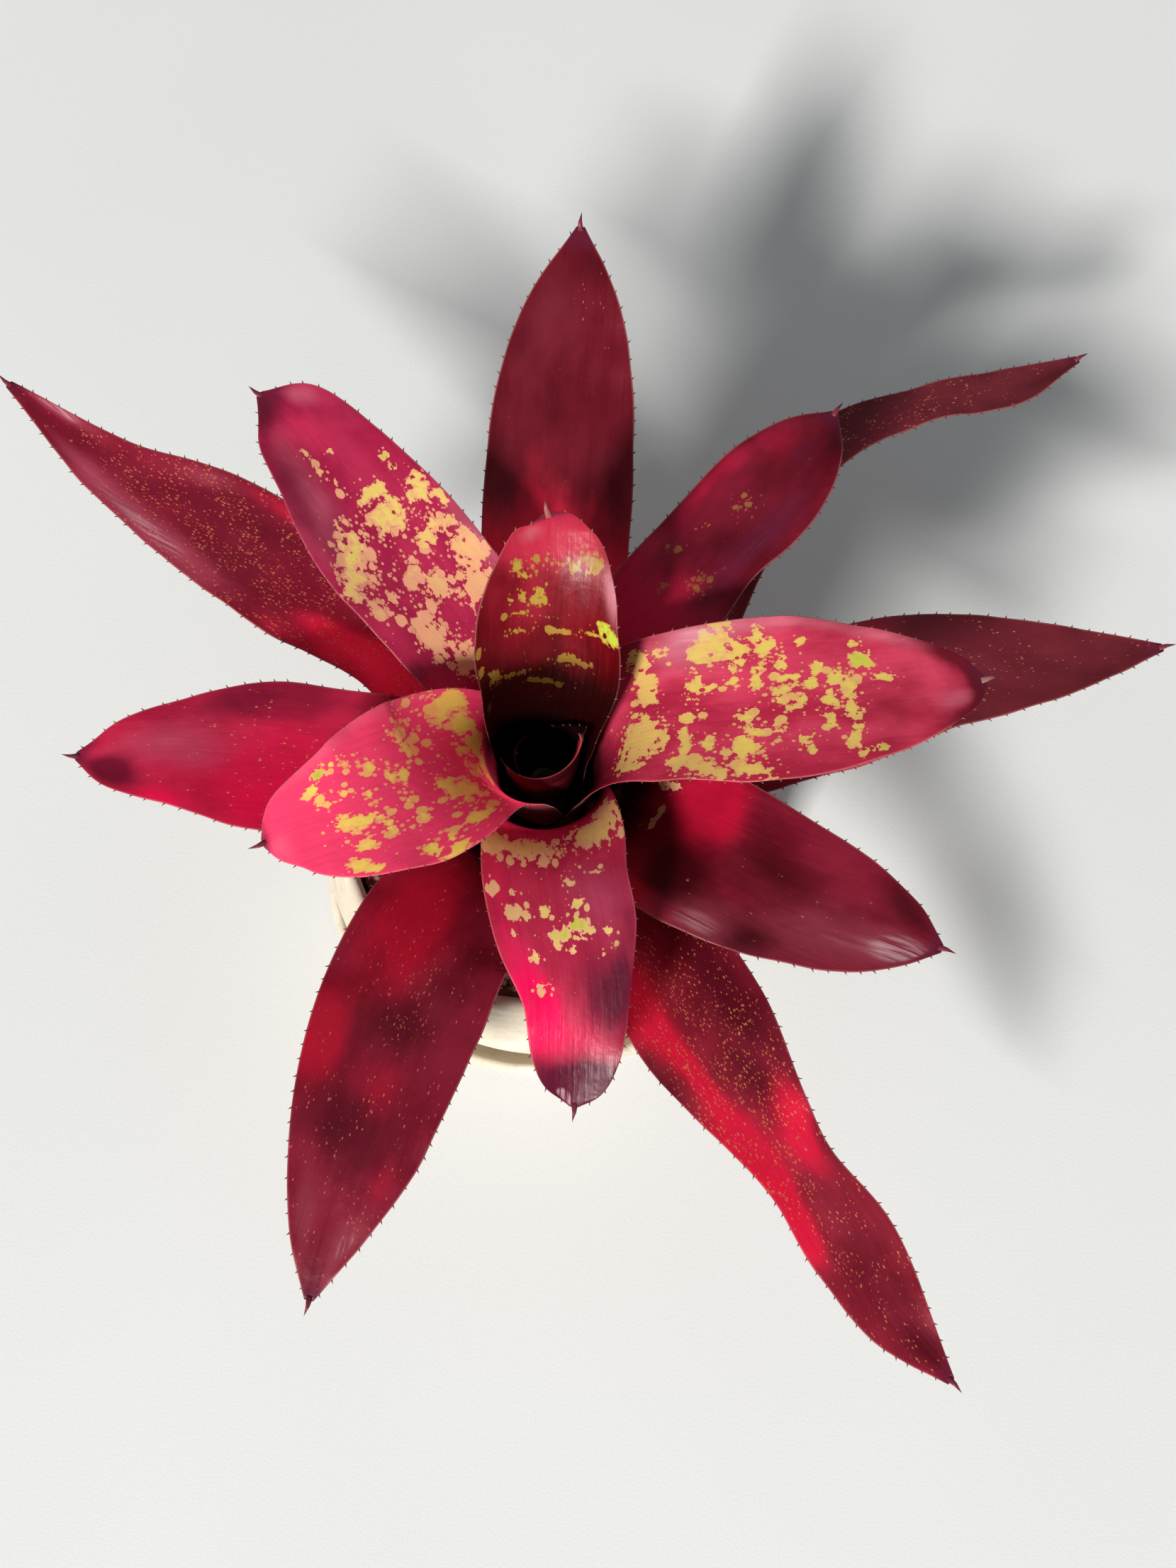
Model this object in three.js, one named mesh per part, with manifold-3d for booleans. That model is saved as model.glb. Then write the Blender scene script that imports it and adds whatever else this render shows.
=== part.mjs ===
// A neoregelia bromeliad in a round ceramic pot that stands on its saucer.
// Millimetres, +Z up. The origin is the middle of the saucer's flat underside.

import * as THREE from 'three';
import { mergeVertices } from 'three/addons/utils/BufferGeometryUtils.js';
import Module from 'manifold-3d';

const wasm = await Module();
wasm.setup();

// ---- driving dimensions ----

const SEAT_GAP = 0.3; // between pieces that rest on or in each other

const SAUCER_RADIUS = 88;
const SAUCER_HEIGHT = 14;
const SAUCER_WALL = 5;
const SAUCER_FLOOR = 5;
const SAUCER_FOOT_RADIUS = 66;

const POT_BASE_Z = SAUCER_FLOOR + SEAT_GAP;
const POT_RIM_Z = 85;
const POT_RIM_RADIUS = 75;
const POT_BELLY_RADIUS = 83;
const POT_BELLY_Z = 36;
const POT_FOOT_RADIUS = 62;
const POT_WALL = 6;
const POT_FLOOR = 7;
const DRAIN_RADIUS = 6;

const MIX_TOP_Z = 70;
const GRAVEL_THICKNESS = 5;
const PEBBLE_RADIUS = 4.2;
const PEBBLE_COUNT = 52;

const STEM_RADIUS = 12;
const STEM_TOP_RADIUS = 5;
const STEM_BOTTOM_Z = 38;
const STEM_TAPER_Z = 86;
const STEM_TOP_Z = 121;

const ROSETTE_X = 3.5; // the plant stands a little off the pot's middle
const LEAF_THICKNESS = 0.85;
const TIP_THICKNESS = 0.65;
const FIRST_LEAF_Z = 117; // where the youngest leaf leaves the stem
const LEAF_STEP_Z = 1.95; // each older leaf leaves the stem this much lower
const LEAF_BASE_OFFSET = SEAT_GAP + LEAF_THICKNESS / 2 + 0.1;

const TOOTH_SPACING = 15;
const TOOTH_LENGTH = 1.5;
const TOOTH_WIDTH = 1.8;
const TOOTH_THICKNESS = 0.7;
const SPINE_LENGTH = 5;

const ROUND_SEGMENTS = 40;

// ---- the leaves, from the youngest to the oldest ----
// azimuth: the way a leaf points, anticlockwise from +X, in degrees.
// throat: [reach, height] where its sheath opens out from the tank.
// wrap: the sheath's width at the throat, where it isn't the usual one.
// blade rows: [reach, side, height, width], measured from the rosette's axis,
// with side counted to the left of the way the leaf points.
// The last row is the root of the spine at the tip.

const LEAVES = [
  { azimuth: 173, throat: [9, 138], wrap: 40, blade: [
    [9.3, 0, 143, 34], [9.6, 0, 147, 22], [10, 0, 151, 3]] },
  { azimuth: 330, throat: [12.4, 150], wrap: 56, blade: [
    [12.7, 0, 158, 50], [13, 0, 166, 36], [13.6, 0, 172, 4]] },
  { azimuth: 86, throat: [15.8, 150], blade: [
    [21, -1.5, 170, 53], [31, -1.2, 187, 49.5], [44, -1.3, 202, 38.5], [52, -0.5, 209, 27],
    [55.5, 0, 211.6, 16], [57.5, 0.8, 213, 3]] },
  { azimuth: 205, throat: [17.8, 147], wrap: 48, blade: [
    [24, -2.1, 166, 51], [40, 1.8, 180, 56.5], [64, 3.6, 188, 46], [82, 1.5, 189, 28],
    [88.5, 1.3, 187.6, 16.5], [92.5, 1, 186.2, 3]] },
  { azimuth: 6, throat: [19.9, 144], wrap: 44, blade: [
    [28, 4.5, 162, 47], [48, 3, 175, 52], [78, -0.8, 184, 54.5], [108, -2.2, 186, 42],
    [130, -1.3, 184, 24.5], [138, -0.6, 182.3, 14], [142, 0, 181.2, 3]] },
  { azimuth: 129, throat: [22.2, 141], blade: [
    [31, -4, 158, 48], [52, -4, 169, 48], [84, -2.2, 178, 49.5], [114, -3.3, 181, 39.5],
    [139, -4, 179, 27], [153, -1, 176, 3]] },
  { azimuth: 276, throat: [22.8, 138], blade: [
    [30, 1, 154.5, 48], [45, 0.3, 163, 46], [64, 2.1, 165, 44.4], [84, 3, 160, 33.7],
    [102, 1, 151, 27.2], [110.5, 0, 146, 17], [115, -1, 143.6, 3]] },
  { azimuth: 48, throat: [27.2, 134], blade: [
    [38, 1, 149, 44], [58, 3, 156, 41], [88, 4, 162, 37], [118, 3, 165, 38],
    [142, 4.4, 163, 25.7], [158, 6, 160, 3]] },
  { azimuth: 181, throat: [29.5, 130], blade: [
    [41, 2, 144, 48], [62, 2.2, 151, 49.5], [92, 0.3, 154, 51.4], [120, -1.6, 154, 36.7],
    [142, -1.5, 151, 22], [155, -3, 148, 3]] },
  { azimuth: 333, throat: [31.7, 126], blade: [
    [43, -2, 138, 56], [62, -4.5, 146, 56], [90, -5.4, 151, 50], [115, -3, 152, 38.7],
    [134, 0.5, 148, 21], [145, 2, 144, 3]] },
  { azimuth: 85, throat: [33.8, 122], blade: [
    [45, 2.3, 134, 51], [64, 2.4, 143, 50.7], [96, 3.2, 152, 52], [130, 3.7, 163, 47.4],
    [160, 3.1, 172, 31.2], [183, 3, 180, 3]] },
  { azimuth: 247, throat: [35.8, 118], blade: [
    [46, -6, 127, 50], [66, -9, 135, 54], [100, -8, 142, 54], [138, -3.8, 143, 43.5],
    [168, -0.9, 139, 23.3], [187, 2, 135, 3]] },
  { azimuth: 12, throat: [37.6, 114], blade: [
    [48, 0, 123, 48], [68, 1, 130, 49], [104, 3, 136, 51], [140, 4.8, 138, 43],
    [182, 1.2, 135, 27.4], [222, 0, 130, 3]] },
  { azimuth: 146, throat: [39.2, 110], blade: [
    [51, -7, 118, 40], [72, -11, 125, 37], [110, -9.5, 133, 44.5], [150, -7.9, 139, 40.5],
    [185, -4.4, 144, 24.6], [237, -9, 148, 3]] },
  { azimuth: 304, throat: [40.6, 106], blade: [
    [54, 0.5, 113, 49], [74, -1.7, 119, 46.5], [106, -4.1, 125, 45.5], [140, -5.1, 127, 30.5],
    [158, -4.8, 124, 25.3], [185, -3.6, 118, 29.7], [212, -4.3, 112, 22.5], [238, -1, 107, 3]] },
  { azimuth: 41, throat: [42, 101], blade: [
    [57, 4, 107, 40], [82, 12, 111, 32], [120, 25, 114, 24], [169, 31.9, 114, 19.8],
    [209, 21.2, 111, 15.5], [242, 6, 106, 16], [273, -1, 101, 3]] },
];

const SHEATH_BASE_WIDTH = 34;
const SHEATH_MIDDLE_WIDTH = 46;
const SHEATH_TOP_WIDTH = 52;
const BLADE_CURL = 0.012; // 1/mm, how much a blade is gutter-shaped near its end
const TIP_CURL = 0.035; // 1/mm, more where the last of the blade is pinched
const FREE_HEADING = 0.35; // how far along a blade its own direction takes over
const ROW_STEPS = 2; // stations for each stretch between two rows
const ACROSS = 6; // facets across a blade
const ROLLED_LEAVES = 2; // the youngest leaves, still rolled up
const ACROSS_ROLLED = 12; // facets across those

// ---- materials ----

const crimson = { color: '#a81c3f', roughness: 0.38, metalness: 0 };
const rosePink = { color: '#c93a5c', roughness: 0.36, metalness: 0 };
const maroon = { color: '#7c1a34', roughness: 0.42, metalness: 0 };
const ceramic = { color: '#d9cfb9', roughness: 0.55, metalness: 0 };
const barkMix = { color: '#3a2a20', roughness: 0.95, metalness: 0 };
const pebbleStone = { color: '#a98a78', roughness: 0.8, metalness: 0 };
const stemGreen = { color: '#6d6a3c', roughness: 0.7, metalness: 0 };

const bromeliad = new THREE.Group();

function addMesh(name, geometry, look) {
  const mesh = new THREE.Mesh(geometry, new THREE.MeshStandardMaterial(look));
  mesh.name = name;
  bromeliad.add(mesh);
  return mesh;
}

// ---- closed meshes to solids and back ----

function toSolid(geometry) {
  const plain = geometry.index ? geometry.clone() : geometry;
  plain.deleteAttribute('normal');
  plain.deleteAttribute('uv');
  const merged = mergeVertices(plain, 1e-4);
  const mesh = new wasm.Mesh({
    numProp: 3,
    vertProperties: new Float32Array(merged.attributes.position.array),
    triVerts: new Uint32Array(merged.index.array),
  });
  return new wasm.Manifold(mesh);
}

function toGeometry(solid) {
  const mesh = solid.getMesh();
  const geometry = new THREE.BufferGeometry();
  geometry.setAttribute('position', new THREE.BufferAttribute(mesh.vertProperties, 3));
  geometry.setIndex(new THREE.BufferAttribute(mesh.triVerts, 1));
  geometry.computeVertexNormals();
  return geometry;
}

function meshFrom(points, faces) {
  const geometry = new THREE.BufferGeometry();
  const flat = points.flatMap((p) => [p.x, p.y, p.z]);
  geometry.setAttribute('position', new THREE.Float32BufferAttribute(flat, 3));
  geometry.setIndex(faces.flat());
  return geometry;
}

// A lathe turned about +Z from [radius, height] pairs.
function turned(profile, segments = ROUND_SEGMENTS) {
  const points = profile.map(([radius, height]) => new THREE.Vector2(radius, height));
  const geometry = new THREE.LatheGeometry(points, segments);
  geometry.rotateX(Math.PI / 2);
  return geometry;
}

// Random draws that are the same each time.
function seededRandom(seed) {
  let state = seed;
  return () => {
    state = (state * 16807) % 2147483647;
    return state / 2147483647;
  };
}

function smoothStep(x) {
  const t = Math.min(Math.max(x, 0), 1);
  return t * t * (3 - 2 * t);
}

// ---- saucer and pot ----

function makeSaucer() {
  const outer = SAUCER_RADIUS;
  const inner = outer - SAUCER_WALL;
  const top = SAUCER_HEIGHT;
  const profile = [
    [0, 0],
    [SAUCER_FOOT_RADIUS, 0],
    [outer - 6, 3],
    [outer - 1, 8],
    [outer, top - 2],
    [outer - SAUCER_WALL / 2, top],
    [inner, top - 1.5],
    [inner - 1.5, SAUCER_FLOOR + 3],
    [inner - 5, SAUCER_FLOOR],
    [0, SAUCER_FLOOR],
  ];
  addMesh('saucer', turned(profile), ceramic);
}

// The outside swells to the belly and draws in again to the rim.
function potOutside() {
  return [
    [DRAIN_RADIUS, POT_BASE_Z],
    [POT_FOOT_RADIUS, POT_BASE_Z],
    [POT_FOOT_RADIUS + 10, POT_BASE_Z + 8],
    [POT_BELLY_RADIUS - 2, POT_BELLY_Z - 12],
    [POT_BELLY_RADIUS, POT_BELLY_Z],
    [POT_BELLY_RADIUS - 1.5, POT_BELLY_Z + 16],
    [POT_RIM_RADIUS + 3.2, POT_RIM_Z - 16],
    [POT_RIM_RADIUS + 0.6, POT_RIM_Z - 4],
    [POT_RIM_RADIUS - 1, POT_RIM_Z - 0.8],
    [POT_RIM_RADIUS - POT_WALL / 2, POT_RIM_Z],
  ];
}

function potInside() {
  return [
    [POT_RIM_RADIUS - POT_WALL + 0.8, POT_RIM_Z - 1],
    [POT_RIM_RADIUS - POT_WALL, POT_RIM_Z - 4],
    [POT_RIM_RADIUS - POT_WALL + 2.5, POT_RIM_Z - 18],
    [POT_BELLY_RADIUS - POT_WALL, POT_BELLY_Z + 4],
    [POT_BELLY_RADIUS - POT_WALL - 4, POT_BELLY_Z - 14],
    [POT_FOOT_RADIUS, POT_BASE_Z + POT_FLOOR],
    [DRAIN_RADIUS, POT_BASE_Z + POT_FLOOR],
  ];
}

function makePot() {
  const profile = [...potOutside(), ...potInside()];
  addMesh('pot', turned([...profile, profile[0]]), ceramic);
}

// The pot's inner radius at a height, drawn in by the seat gap.
function potBore(height) {
  const wall = potInside();
  for (let i = 0; i + 1 < wall.length; i += 1) {
    const [upperRadius, upperZ] = wall[i];
    const [lowerRadius, lowerZ] = wall[i + 1];
    if (height <= upperZ && height >= lowerZ) {
      const t = (upperZ - height) / (upperZ - lowerZ);
      return upperRadius + (lowerRadius - upperRadius) * t - 2 * SEAT_GAP;
    }
  }
  return wall[0][0] - 2 * SEAT_GAP;
}

// ---- potting mix and gravel, each with a plain hole for the stem ----

function stemHole(bottom, top) {
  const height = top - bottom;
  const cylinder = new THREE.CylinderGeometry(
    STEM_RADIUS + SEAT_GAP, STEM_RADIUS + SEAT_GAP, height, 20);
  cylinder.rotateX(Math.PI / 2);
  cylinder.translate(ROSETTE_X, 0, bottom + height / 2);
  return toSolid(cylinder);
}

function makePottingMix() {
  const bottom = POT_BASE_Z + POT_FLOOR + SEAT_GAP;
  const heights = [bottom, POT_BELLY_Z - 14, POT_BELLY_Z + 4, POT_RIM_Z - 18, MIX_TOP_Z];
  const wall = heights.map((height) => [potBore(height) - SEAT_GAP, height]);
  const body = toSolid(turned([[0, bottom], ...wall, [0, MIX_TOP_Z]]));
  const hole = stemHole(STEM_BOTTOM_Z - SEAT_GAP, MIX_TOP_Z + 5);
  addMesh('potting_mix', toGeometry(body.subtract(hole)), barkMix);
}

function makeGravel() {
  const bottom = MIX_TOP_Z + SEAT_GAP;
  const top = bottom + GRAVEL_THICKNESS;
  const rim = Math.min(potBore(bottom), potBore(top)) - SEAT_GAP;
  let layer = toSolid(turned([[0, bottom], [rim, bottom], [rim, top], [0, top]], 36));
  const draw = seededRandom(4711);
  const goldenAngle = Math.PI * (3 - Math.sqrt(5));
  for (let i = 0; i < PEBBLE_COUNT; i += 1) {
    const share = Math.sqrt((i + 6) / (PEBBLE_COUNT + 6));
    const reach = share * (rim - PEBBLE_RADIUS - 1.2);
    const angle = i * goldenAngle + draw() * 0.2;
    const pebble = new THREE.IcosahedronGeometry(PEBBLE_RADIUS, 0);
    pebble.scale(0.85 + draw() * 0.3, 0.75 + draw() * 0.3, 0.55 + draw() * 0.15);
    pebble.rotateZ(draw() * Math.PI);
    pebble.rotateX(draw() * 0.4);
    pebble.translate(reach * Math.cos(angle), reach * Math.sin(angle), top + draw() * 0.4);
    layer = layer.add(toSolid(pebble));
  }
  const hole = stemHole(bottom - 5, top + 20);
  addMesh('gravel', toGeometry(layer.subtract(hole)), pebbleStone);
}

// ---- stem ----

function stemRadius(height) {
  const t = Math.min(Math.max((height - STEM_TAPER_Z) / (STEM_TOP_Z - STEM_TAPER_Z), 0), 1);
  return STEM_RADIUS + (STEM_TOP_RADIUS - STEM_RADIUS) * t;
}

function makeStem() {
  const profile = [
    [0, STEM_BOTTOM_Z],
    [STEM_RADIUS - 3, STEM_BOTTOM_Z],
    [STEM_RADIUS, STEM_BOTTOM_Z + 4],
    [STEM_RADIUS, STEM_TAPER_Z],
    [STEM_TOP_RADIUS, STEM_TOP_Z],
    [STEM_TOP_RADIUS - 3, STEM_TOP_Z + 2],
    [0, STEM_TOP_Z + 2.5],
  ];
  const geometry = turned(profile, 20);
  geometry.translate(ROSETTE_X, 0, 0);
  addMesh('stem', geometry, stemGreen);
}

// ---- leaves ----

// The rows of a leaf from its base on the stem to its tip, as
// { point, width } with the point in the part's own frame.
function leafRows(leaf, index) {
  const baseZ = FIRST_LEAF_Z - LEAF_STEP_Z * index;
  const baseReach = stemRadius(baseZ) + LEAF_BASE_OFFSET;
  const [throatReach, throatZ] = leaf.throat;
  const topWidth = leaf.wrap ?? SHEATH_TOP_WIDTH;
  const middleReach = baseReach + 0.6 * (throatReach - baseReach);
  const middleZ = baseZ + 0.18 * (throatZ - baseZ);
  const baseWidth = SHEATH_BASE_WIDTH * Math.min(1, baseReach / 13 + 0.1);
  const rows = [
    [baseReach, 0, baseZ, baseWidth],
    [middleReach, 0, middleZ, SHEATH_MIDDLE_WIDTH * Math.min(1, middleReach / 15 + 0.1)],
    [throatReach, 0, throatZ, topWidth],
    ...leaf.blade,
  ];
  const angle = THREE.MathUtils.degToRad(leaf.azimuth);
  const cos = Math.cos(angle);
  const sin = Math.sin(angle);
  return rows.map(([reach, side, height, width]) => ({
    point: new THREE.Vector3(
      ROSETTE_X + reach * cos - side * sin, reach * sin + side * cos, height),
    width,
  }));
}

// A smooth value through b and c, with a and d as their outer neighbours and
// the three spans between the four.
function between(a, b, c, d, spans, t) {
  const [before, here, after] = spans;
  const leave = ((b - a) / before - (c - a) / (before + here) + (c - b) / here) * here;
  const arrive = ((c - b) / here - (d - b) / (here + after) + (d - c) / after) * here;
  const square = t * t;
  const cube = square * t;
  return b + leave * t + (3 * (c - b) - 2 * leave - arrive) * square
    + (2 * (b - c) + leave + arrive) * cube;
}

// Stations along the leaf: a point, a width and how far along it is, from
// -1 at the base through 0 at the throat to 1 at the tip.
function leafStations(rows, steps) {
  const last = rows.length - 1;
  const mirrored = (end, next) => ({
    point: end.point.clone().multiplyScalar(2).sub(next.point),
    width: 2 * end.width - next.width,
  });
  const padded = [mirrored(rows[0], rows[1]), ...rows, mirrored(rows[last], rows[last - 1])];
  const span = (a, b) => Math.sqrt(a.point.distanceTo(b.point));
  const stations = [];
  for (let i = 0; i < last; i += 1) {
    const [a, b, c, d] = padded.slice(i, i + 4);
    const spans = [span(a, b), span(b, c), span(c, d)];
    for (let k = 0; k < steps + (i === last - 1 ? 1 : 0); k += 1) {
      const t = k / steps;
      const mix = (pick) => between(pick(a), pick(b), pick(c), pick(d), spans, t);
      const row = i + t;
      stations.push({
        point: new THREE.Vector3(
          mix((r) => r.point.x), mix((r) => r.point.y), mix((r) => r.point.z)),
        width: mix((r) => r.width),
        along: row < 2 ? row / 2 - 1 : (row - 2) / (last - 2),
      });
    }
  }
  return stations;
}

// Along, across and up directions at each station.
function addFrames(stations, azimuth) {
  const angle = THREE.MathUtils.degToRad(azimuth);
  const outward = new THREE.Vector3(Math.cos(angle), Math.sin(angle), 0);
  const last = stations.length - 1;
  stations.forEach((station, i) => {
    const ahead = stations[Math.min(i + 1, last)].point;
    const behind = stations[Math.max(i - 1, 0)].point;
    station.along3 = ahead.clone().sub(behind).normalize();
    const flat = station.along3.clone().setZ(0);
    const share = smoothStep(station.along / FREE_HEADING);
    const heading = flat.normalize().multiplyScalar(share).addScaledVector(outward, 1 - share);
    const left = new THREE.Vector3(-heading.y, heading.x, 0).normalize();
    station.up3 = station.along3.clone().cross(left).normalize();
    station.left3 = station.up3.clone().cross(station.along3);
    const steepness = Math.max(station.along3.z, 0);
    const reach = Math.hypot(station.point.x - ROSETTE_X, station.point.y);
    const q = Math.max(station.along, 0);
    const curl = BLADE_CURL * q + TIP_CURL * smoothStep((q - 0.75) / 0.25);
    station.bend = Math.max(steepness / reach + curl, 1e-5);
  });
}

// A point of the leaf's middle surface; across runs from -1 to 1.
function leafPoint(station, across, lift) {
  const turn = station.bend * across * station.width / 2;
  const sideways = Math.sin(turn) / station.bend - Math.sin(turn) * lift;
  const upward = (1 - Math.cos(turn)) / station.bend + Math.cos(turn) * lift;
  return station.point.clone()
    .addScaledVector(station.left3, sideways)
    .addScaledVector(station.up3, upward);
}

// The blade with its two faces, edges, base and the spine at its tip.
function bladeSolid(stations, facets) {
  const points = [];
  const faces = [];
  const row = 2 * (facets + 1);
  stations.forEach((station) => {
    const taper = smoothStep((station.along - 0.8) / 0.2);
    const half = (LEAF_THICKNESS + (TIP_THICKNESS - LEAF_THICKNESS) * taper) / 2;
    for (const lift of [half, -half]) {
      for (let j = 0; j <= facets; j += 1) {
        points.push(leafPoint(station, 2 * j / facets - 1, lift));
      }
    }
  });
  const top = (i, j) => i * row + j;
  const under = (i, j) => i * row + facets + 1 + j;
  const quad = (a, b, c, d) => faces.push([a, b, c], [a, c, d]);
  const last = stations.length - 1;
  for (let i = 0; i < last; i += 1) {
    for (let j = 0; j < facets; j += 1) {
      quad(top(i, j), top(i + 1, j), top(i + 1, j + 1), top(i, j + 1));
      faces.push([under(i, j), under(i + 1, j + 1), under(i + 1, j)]);
      faces.push([under(i, j), under(i, j + 1), under(i + 1, j + 1)]);
    }
    quad(top(i, 0), under(i, 0), under(i + 1, 0), top(i + 1, 0));
    quad(top(i, facets), top(i + 1, facets), under(i + 1, facets), under(i, facets));
  }
  for (let j = 0; j < facets; j += 1) {
    quad(top(0, j), top(0, j + 1), under(0, j + 1), under(0, j));
  }
  const end = stations[last];
  const spineTip = points.length;
  points.push(end.point.clone()
    .addScaledVector(end.along3, SPINE_LENGTH)
    .addScaledVector(end.up3, 0.8));
  for (let j = 0; j < facets; j += 1) {
    faces.push([top(last, j), spineTip, top(last, j + 1)]);
    faces.push([under(last, j), under(last, j + 1), spineTip]);
  }
  faces.push([top(last, 0), under(last, 0), spineTip]);
  faces.push([top(last, facets), spineTip, under(last, facets)]);
  return toSolid(meshFrom(points, faces));
}

// One small tooth on the edge, leaning towards the leaf's tip.
function toothSolid(root, outward, along, up) {
  const sunk = root.clone().addScaledVector(outward, -0.7);
  const half = TOOTH_WIDTH / 2;
  const points = [
    sunk.clone().addScaledVector(along, -half),
    sunk.clone().addScaledVector(along, half * 0.6).addScaledVector(up, TOOTH_THICKNESS / 2),
    sunk.clone().addScaledVector(along, half * 0.6).addScaledVector(up, -TOOTH_THICKNESS / 2),
    root.clone().addScaledVector(outward, TOOTH_LENGTH).addScaledVector(along, 0.8),
  ];
  const faces = [[0, 2, 1], [0, 1, 3], [1, 2, 3], [2, 0, 3]];
  return toSolid(meshFrom(points, faces));
}

// Teeth at even steps along both edges, from the throat to the tip.
function addTeeth(blade, stations) {
  let solid = blade;
  for (const edge of [-1, 1]) {
    let travelled = 0;
    let due = TOOTH_SPACING * (edge > 0 ? 0.5 : 1);
    for (let i = 0; i + 1 < stations.length; i += 1) {
      const from = leafPoint(stations[i], edge, 0);
      const to = leafPoint(stations[i + 1], edge, 0);
      const length = from.distanceTo(to);
      if (stations[i].along > 0.12) {
        while (due < travelled + length) {
          const t = (due - travelled) / length;
          const root = from.clone().lerp(to, t);
          const along = to.clone().sub(from).normalize();
          const inner = leafPoint(stations[i], edge * 0.8, 0);
          inner.lerp(leafPoint(stations[i + 1], edge * 0.8, 0), t);
          const outward = root.clone().sub(inner);
          outward.addScaledVector(along, -outward.dot(along)).normalize();
          const up = along.clone().cross(outward);
          solid = solid.add(toothSolid(root, outward, along, up));
          due += TOOTH_SPACING;
        }
      }
      travelled += length;
      due = Math.max(due, travelled);
    }
  }
  return solid;
}

function leafLook(index) {
  if (index < 7) return rosePink;
  if (index < 11) return crimson;
  return maroon;
}

function makeLeaf(leaf, index) {
  const stations = leafStations(leafRows(leaf, index), ROW_STEPS);
  addFrames(stations, leaf.azimuth);
  const blade = bladeSolid(stations, index < ROLLED_LEAVES ? ACROSS_ROLLED : ACROSS);
  const name = `leaf_${String(index + 1).padStart(2, '0')}`;
  addMesh(name, toGeometry(addTeeth(blade, stations)), leafLook(index));
}

makeSaucer();
makePot();
makePottingMix();
makeGravel();
makeStem();
LEAVES.forEach(makeLeaf);

export default bromeliad;
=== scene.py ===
import math
from functools import partialmethod

import bpy
import numpy as np
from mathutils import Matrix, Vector


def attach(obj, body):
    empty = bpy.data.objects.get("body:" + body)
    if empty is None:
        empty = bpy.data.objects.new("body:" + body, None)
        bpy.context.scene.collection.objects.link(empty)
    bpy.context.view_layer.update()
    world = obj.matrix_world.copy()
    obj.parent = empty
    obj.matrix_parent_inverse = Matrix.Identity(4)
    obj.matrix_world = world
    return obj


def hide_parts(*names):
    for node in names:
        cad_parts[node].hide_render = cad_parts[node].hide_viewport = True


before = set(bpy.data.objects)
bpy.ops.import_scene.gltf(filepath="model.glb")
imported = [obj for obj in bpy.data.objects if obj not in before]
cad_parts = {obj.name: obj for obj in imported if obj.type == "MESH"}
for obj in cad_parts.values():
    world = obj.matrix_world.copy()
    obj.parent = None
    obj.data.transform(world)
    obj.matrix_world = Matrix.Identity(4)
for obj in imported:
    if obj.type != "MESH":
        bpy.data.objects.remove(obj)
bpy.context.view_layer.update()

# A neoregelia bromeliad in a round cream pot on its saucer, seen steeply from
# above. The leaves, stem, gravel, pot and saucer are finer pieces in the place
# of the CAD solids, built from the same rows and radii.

MM = 0.001

# ---- the camera: a hand-held photograph from steeply above the front ----

IMAGE_HEIGHT_PX = 2212
IMAGE_WIDTH_PX = 1659
FOCAL_PX = 2372            # the lens, as pixels of the photograph's height
CAMERA_ELEVATION = 73.0    # degrees above the horizon
AIM_MM = (0.0, 0.0, 85.0)  # the middle of the pot's rim ...
AIM_PX = (757.0, 1142.0)   # ... lies at this pixel of the photograph ...
AIM_DEPTH_MM = 620.0       # ... and this far along the view
SENSOR_MM = 36.0
CLIP_M = (0.01, 20)

# ---- leaves: the same rows as the solids ----

ROSETTE_X = 3.5
LEAF_THICKNESS = 0.85
TIP_THICKNESS = 0.65
FIRST_LEAF_Z = 117.0
LEAF_STEP_Z = 1.95
SEAT_GAP = 0.3
LEAF_BASE_OFFSET = SEAT_GAP + LEAF_THICKNESS / 2 + 0.1
STEM_RADIUS = 12.0
STEM_TOP_RADIUS = 5.0
STEM_TAPER_Z = 86.0
STEM_TOP_Z = 121.0
SHEATH_BASE_WIDTH = 34.0
SHEATH_MIDDLE_WIDTH = 46.0
SHEATH_TOP_WIDTH = 52.0
BLADE_CURL = 0.012
TIP_CURL = 0.035
FREE_HEADING = 0.35
SPINE_LENGTH = 5.0

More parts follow.
